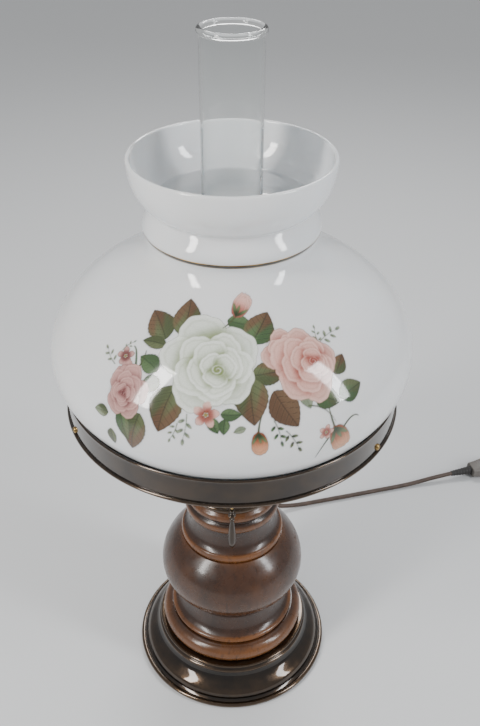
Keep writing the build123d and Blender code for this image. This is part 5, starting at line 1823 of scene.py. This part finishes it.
# ---------------------------------------------------------------- cord
@dataclass
class Lead:
    """The lead: out of the foot at the back, wound into a coil of four turns on four, and on to the plug.

    The coil's layers wind inwards on the floor, climb at the smallest turn and wind outwards on top.
    """

    radius: float = 2.6
    length: float = 1794.0
    plug_back: tuple = (298.677, 230.69, 7.5)
    heading: tuple = (0.968344, 0.249618, 0.0)
    coil_centre: tuple = (-8.0, 189.0)
    turns: tuple = (37.0, 31.7, 26.4, 21.1)
    layers: tuple = (3.5, 8.8)
    points_per_turn: int = 16
    first: float = -20.0
    last: float = 2760.0
    inward: float = 280.0
    climb: float = 1340.0
    outward: float = 1680.0
    shift: float = 60.0
    tail: tuple = (
        (0, 112.4, 12), (0, 121.5, 12), (2.2, 134.5, 7.4),
        (8.4, 146.5, 3.4), (15.6, 157, 2.7), (21.8, 167, 2.8),
    )
    run: tuple = (
        (-16, 151, 9.3), (-3, 149.2, 11.8), (14, 152.8, 13), (42, 163.2, 13), (70, 171, 3.4),
        (118.8, 184, 2.7), (178, 199.1, 2.6), (222, 210.6, 2.7), (251, 218.4, 6.4), (273.5, 224.2, 7.5),
    )

    def coil(self) -> np.ndarray:
        """Control points of the coil.

        The radius steps down by one diameter where the turned angle passes the inward shift of each
        lower turn, and up again at the outward shift of each upper turn. A control point lies outside
        the curve by one over the cosine of half its step.
        """
        count = int((self.last - self.first) * self.points_per_turn / 360)
        angle = np.linspace(self.first, self.last, count)
        pitch = (self.turns[0] - self.turns[-1]) / (len(self.turns) - 1)
        radius = np.full(count, self.turns[0])
        for turn in range(len(self.turns) - 1):
            inner, outer = self.inward + 360 * turn, self.outward + 360 * turn
            radius -= pitch * rising(angle, inner, inner + self.shift)
            radius += pitch * rising(angle, outer, outer + self.shift)
        low, high = self.layers
        height = low + (high - low) * rising(angle, self.climb, self.climb + self.shift)
        outside = radius / math.cos(math.pi / self.points_per_turn)
        x, y = self.coil_centre
        turned_by = np.radians(angle)
        return np.column_stack([x + outside * np.cos(turned_by), y + outside * np.sin(turned_by), height])

    def line(self) -> bpy.types.Object:
        """Makes the lead as one smooth spline with a round section."""
        route = np.vstack([self.tail, self.coil(), self.run]) * MM
        curve = bpy.data.curves.new("brown_lead", "CURVE")
        curve.dimensions = "3D"
        curve.bevel_depth = self.radius * MM
        curve.bevel_resolution = 4
        curve.resolution_u = 8
        curve.use_fill_caps = True
        spline = curve.splines.new("NURBS")
        spline.points.add(len(route) - 1)
        spline.points.foreach_set("co", np.column_stack([route, np.ones(len(route))]).ravel())
        spline.order_u = 3
        spline.use_endpoint_u = True
        lead = bpy.data.objects.new("brown_lead", curve)
        bpy.context.scene.collection.objects.link(lead)
        return lead

    def foot_grommet(self) -> bpy.types.Object:
        """Makes the strain relief in the foot: two flanges in the wall and a ribbed taper behind."""
        low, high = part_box("foot_relief")
        start, tip = low.y / MM, high.y / MM
        length, bore = tip - start, self.radius + 0.05
        ribs = np.linspace(0, 1, 90)
        taper = 4.5 - 1.2 * ribs - 0.35 * (0.5 - 0.5 * np.cos(6 * FULL_TURN * ribs))
        outline = joined(
            (bore, 0), (4.9, 0), (4.9, 2.0), (4.0, 2.0), (4.0, 12.4), (5.2, 12.4), (5.2, 14.8),
            np.column_stack([taper, 14.9 + ribs * (length - 14.9)]), (bore, length),
        )
        seat = Seat((0, start, (low.z + high.z) / 2 / MM), (0, 1, 0))
        return lathe("foot_grommet", outline, seat, steps=48, blur=0.15, reach=0.8, turn=14)

    def plug_sleeve(self) -> bpy.types.Object:
        """Makes the ribbed sleeve that the lead enters the plug by."""
        start, end = np.array(self.run[-1], float), np.array(self.plug_back)
        length, bore = np.linalg.norm(end - start), self.radius + 0.05
        ribs = np.linspace(0, 1, 90)
        taper = 3.3 + 2.0 * ribs - 0.4 * (0.5 - 0.5 * np.cos(7 * FULL_TURN * ribs))
        outline = joined((bore, 0), np.column_stack([taper, ribs * length]), (bore, length))
        seat = Seat(tuple(start), tuple(end - start), (0, 0, 1))
        return lathe("plug_sleeve", outline, seat, steps=48, blur=0.1, reach=0.8, turn=14)

    def plug_shell(self, wide: float = 26.0, high: float = 15.0, length: float = 38.0) -> bpy.types.Object:
        """Makes the flat plug's shell, a rounded section carried from its back to its pins.

        The section is a superellipse of power 3.6. It swells from its back, has five grip grooves in
        its waist and rounds off at both ends.

        Args:
            wide: its width.
            high: its height.
            length: its length.

        Returns:
            The shell.
        """
        back = [0, 0, 0.02, 0.08, 0.2, 0.3]
        waist = np.linspace(0.6, length - 1.2, 120)
        walk = np.concatenate([back, waist, [length - 0.6, length - 0.2, length, length]])
        rounding = np.sqrt(np.clip(1 - (1 - np.clip(walk / 1.4, 0, 1)) ** 2, 0, 1))
        nose = np.sqrt(np.clip(1 - (1 - np.clip((length - walk) / 0.9, 0, 1)) ** 2, 0, 1))
        edge = 1.4 * (1 - rounding) + 0.9 * (1 - nose)
        grooves = 0.5 - 0.5 * np.cos(FULL_TURN * (walk - 7) / 2.9)
        grip = rising(walk, 7, 8.5) * rising(22.5 - walk, 0, 1.5) * grooves
        swell = 0.72 + 0.28 * rising(walk, 0, 24)
        half_wide = wide / 2 * swell - edge - 0.45 * grip
        half_high = high / 2 * (0.86 + 0.14 * rising(walk, 0, 20)) - edge - 0.25 * grip
        half_wide[[0, -1]], half_high[[0, -1]] = 0, 0
        angle = (np.arange(96) + 0.5) * FULL_TURN / 96
        cos, sin = np.cos(angle), np.sin(angle)
        power = 2 / 3.6
        side = half_wide[:, None] * np.sign(cos) * np.abs(cos) ** power
        up = half_high[:, None] * np.sign(sin) * np.abs(sin) ** power
        grid = np.stack([up, side, walk[:, None] + 0 * side], -1)
        seat = Seat(self.plug_back, self.heading, (0, 0, 1))
        return surface("plug_shell", seat.place(grid), False, True)

    def build(self, shop: Workshop) -> None:
        """Makes the lead and what is on it.

        Args:
            shop: the finishes.
        """
        grommet = shop.hand_over(self.foot_grommet(), SLOT_OF["foot_relief"], "foot_relief")
        sleeve = shop.hand_over(self.plug_sleeve(), SLOT_OF["plug_relief"], "plug_relief")
        shell = shop.hand_over(self.plug_shell(), SLOT_OF["plug_body"], "plug_body")
        lead = shop.hand_over(self.line(), "cord_brown", "cord_tail", "cord_coil", "cord_run")


# ---------------------------------------------------------------- studio
@dataclass
class Studio:
    """A pale floor, three soft lamps, an even grey surround and the camera."""

    floor_size: float = 6.0
    floor_tone: Colour = (0.74, 0.75, 0.76)
    surround: Colour = (0.86, 0.87, 0.88)
    surround_strength: float = 0.55
    camera_place: tuple = (0.0, -0.5482, 0.7217)
    camera_tilt: float = 54.77
    lens: float = 41.44
    shift: float = 0.011

    def floor(self) -> None:
        """Makes the floor."""
        material = bpy.data.materials.new("pale_floor")
        material.use_nodes = True
        shader = material.node_tree.nodes["Principled BSDF"]
        shader.inputs["Base Color"].default_value = (*self.floor_tone, 1.0)
        shader.inputs["Roughness"].default_value = 0.55
        half = self.floor_size / 2
        mesh = bpy.data.meshes.new("floor")
        corners = [(-half, -half, 0.0), (half, -half, 0.0), (half, half, 0.0), (-half, half, 0.0)]
        mesh.from_pydata(corners, [], [(0, 1, 2, 3)])
        floor = bpy.data.objects.new("floor", mesh)
        bpy.context.scene.collection.objects.link(floor)
        mesh.materials.append(material)

    def softbox(self, name: str, place: tuple, aim: tuple, size: tuple, power: float, tint: Colour) -> None:
        """Hangs one rectangular lamp.

        Args:
            name: its name.
            place: where it hangs, in metres.
            aim: what it points at.
            size: its width and height.
            power: its power in watts.
            tint: its colour.
        """
        lamp = bpy.data.lights.new(name, "AREA")
        lamp.shape = "RECTANGLE"
        lamp.size, lamp.size_y = size
        lamp.energy = power
        lamp.color = tint
        holder = bpy.data.objects.new(name, lamp)
        holder.location = place
        holder.rotation_euler = (Vector(aim) - Vector(place)).to_track_quat("-Z", "Y").to_euler()
        bpy.context.scene.collection.objects.link(holder)

    def build(self) -> None:
        """Sets up the floor, the lamps, the surround and the camera."""
        self.floor()
        self.softbox("left_strip", (-0.95, -0.75, 1.1), (0, 0, 0.3), (0.22, 1.0), 17.0, (1.0, 0.98, 0.95))
        self.softbox("right_strip", (1.15, -0.55, 1.0), (0, 0, 0.3), (0.2, 1.0), 12.0, (0.96, 0.98, 1.0))
        self.softbox("back_strip", (0.2, 1.1, 1.3), (0, 0, 0.3), (0.9, 0.25), 9.0, (1.0, 1.0, 1.0))
        world = bpy.data.worlds.new("surround")
        world.use_nodes = True
        background = world.node_tree.nodes["Background"]
        background.inputs["Color"].default_value = (*self.surround, 1.0)
        background.inputs["Strength"].default_value = self.surround_strength
        bpy.context.scene.world = world
        lens = bpy.data.cameras.new("camera")
        lens.lens = self.lens
        lens.shift_x = self.shift
        camera = bpy.data.objects.new("camera", lens)
        camera.location = self.camera_place
        camera.rotation_euler = (math.radians(self.camera_tilt), 0.0, 0.0)
        bpy.context.scene.collection.objects.link(camera)
        bpy.context.scene.camera = camera


def main() -> None:
    """Builds the sub-assemblies in order, then the studio."""
    logging.basicConfig(level=logging.INFO, format="%(name)s: %(message)s")
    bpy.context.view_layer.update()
    shop = Workshop()
    shop.dress_frame()
    shade = Shade()
    stand = (Foot(), Column(), Spindle(), Gallery())
    for assembly in (*stand, shade, Bouquet(shade), Chimney(), Chain(), Lead()):
        log.info("building %s", type(assembly).__name__)
        assembly.build(shop)
    Studio().build()


if __name__ == "__main__":
    main()
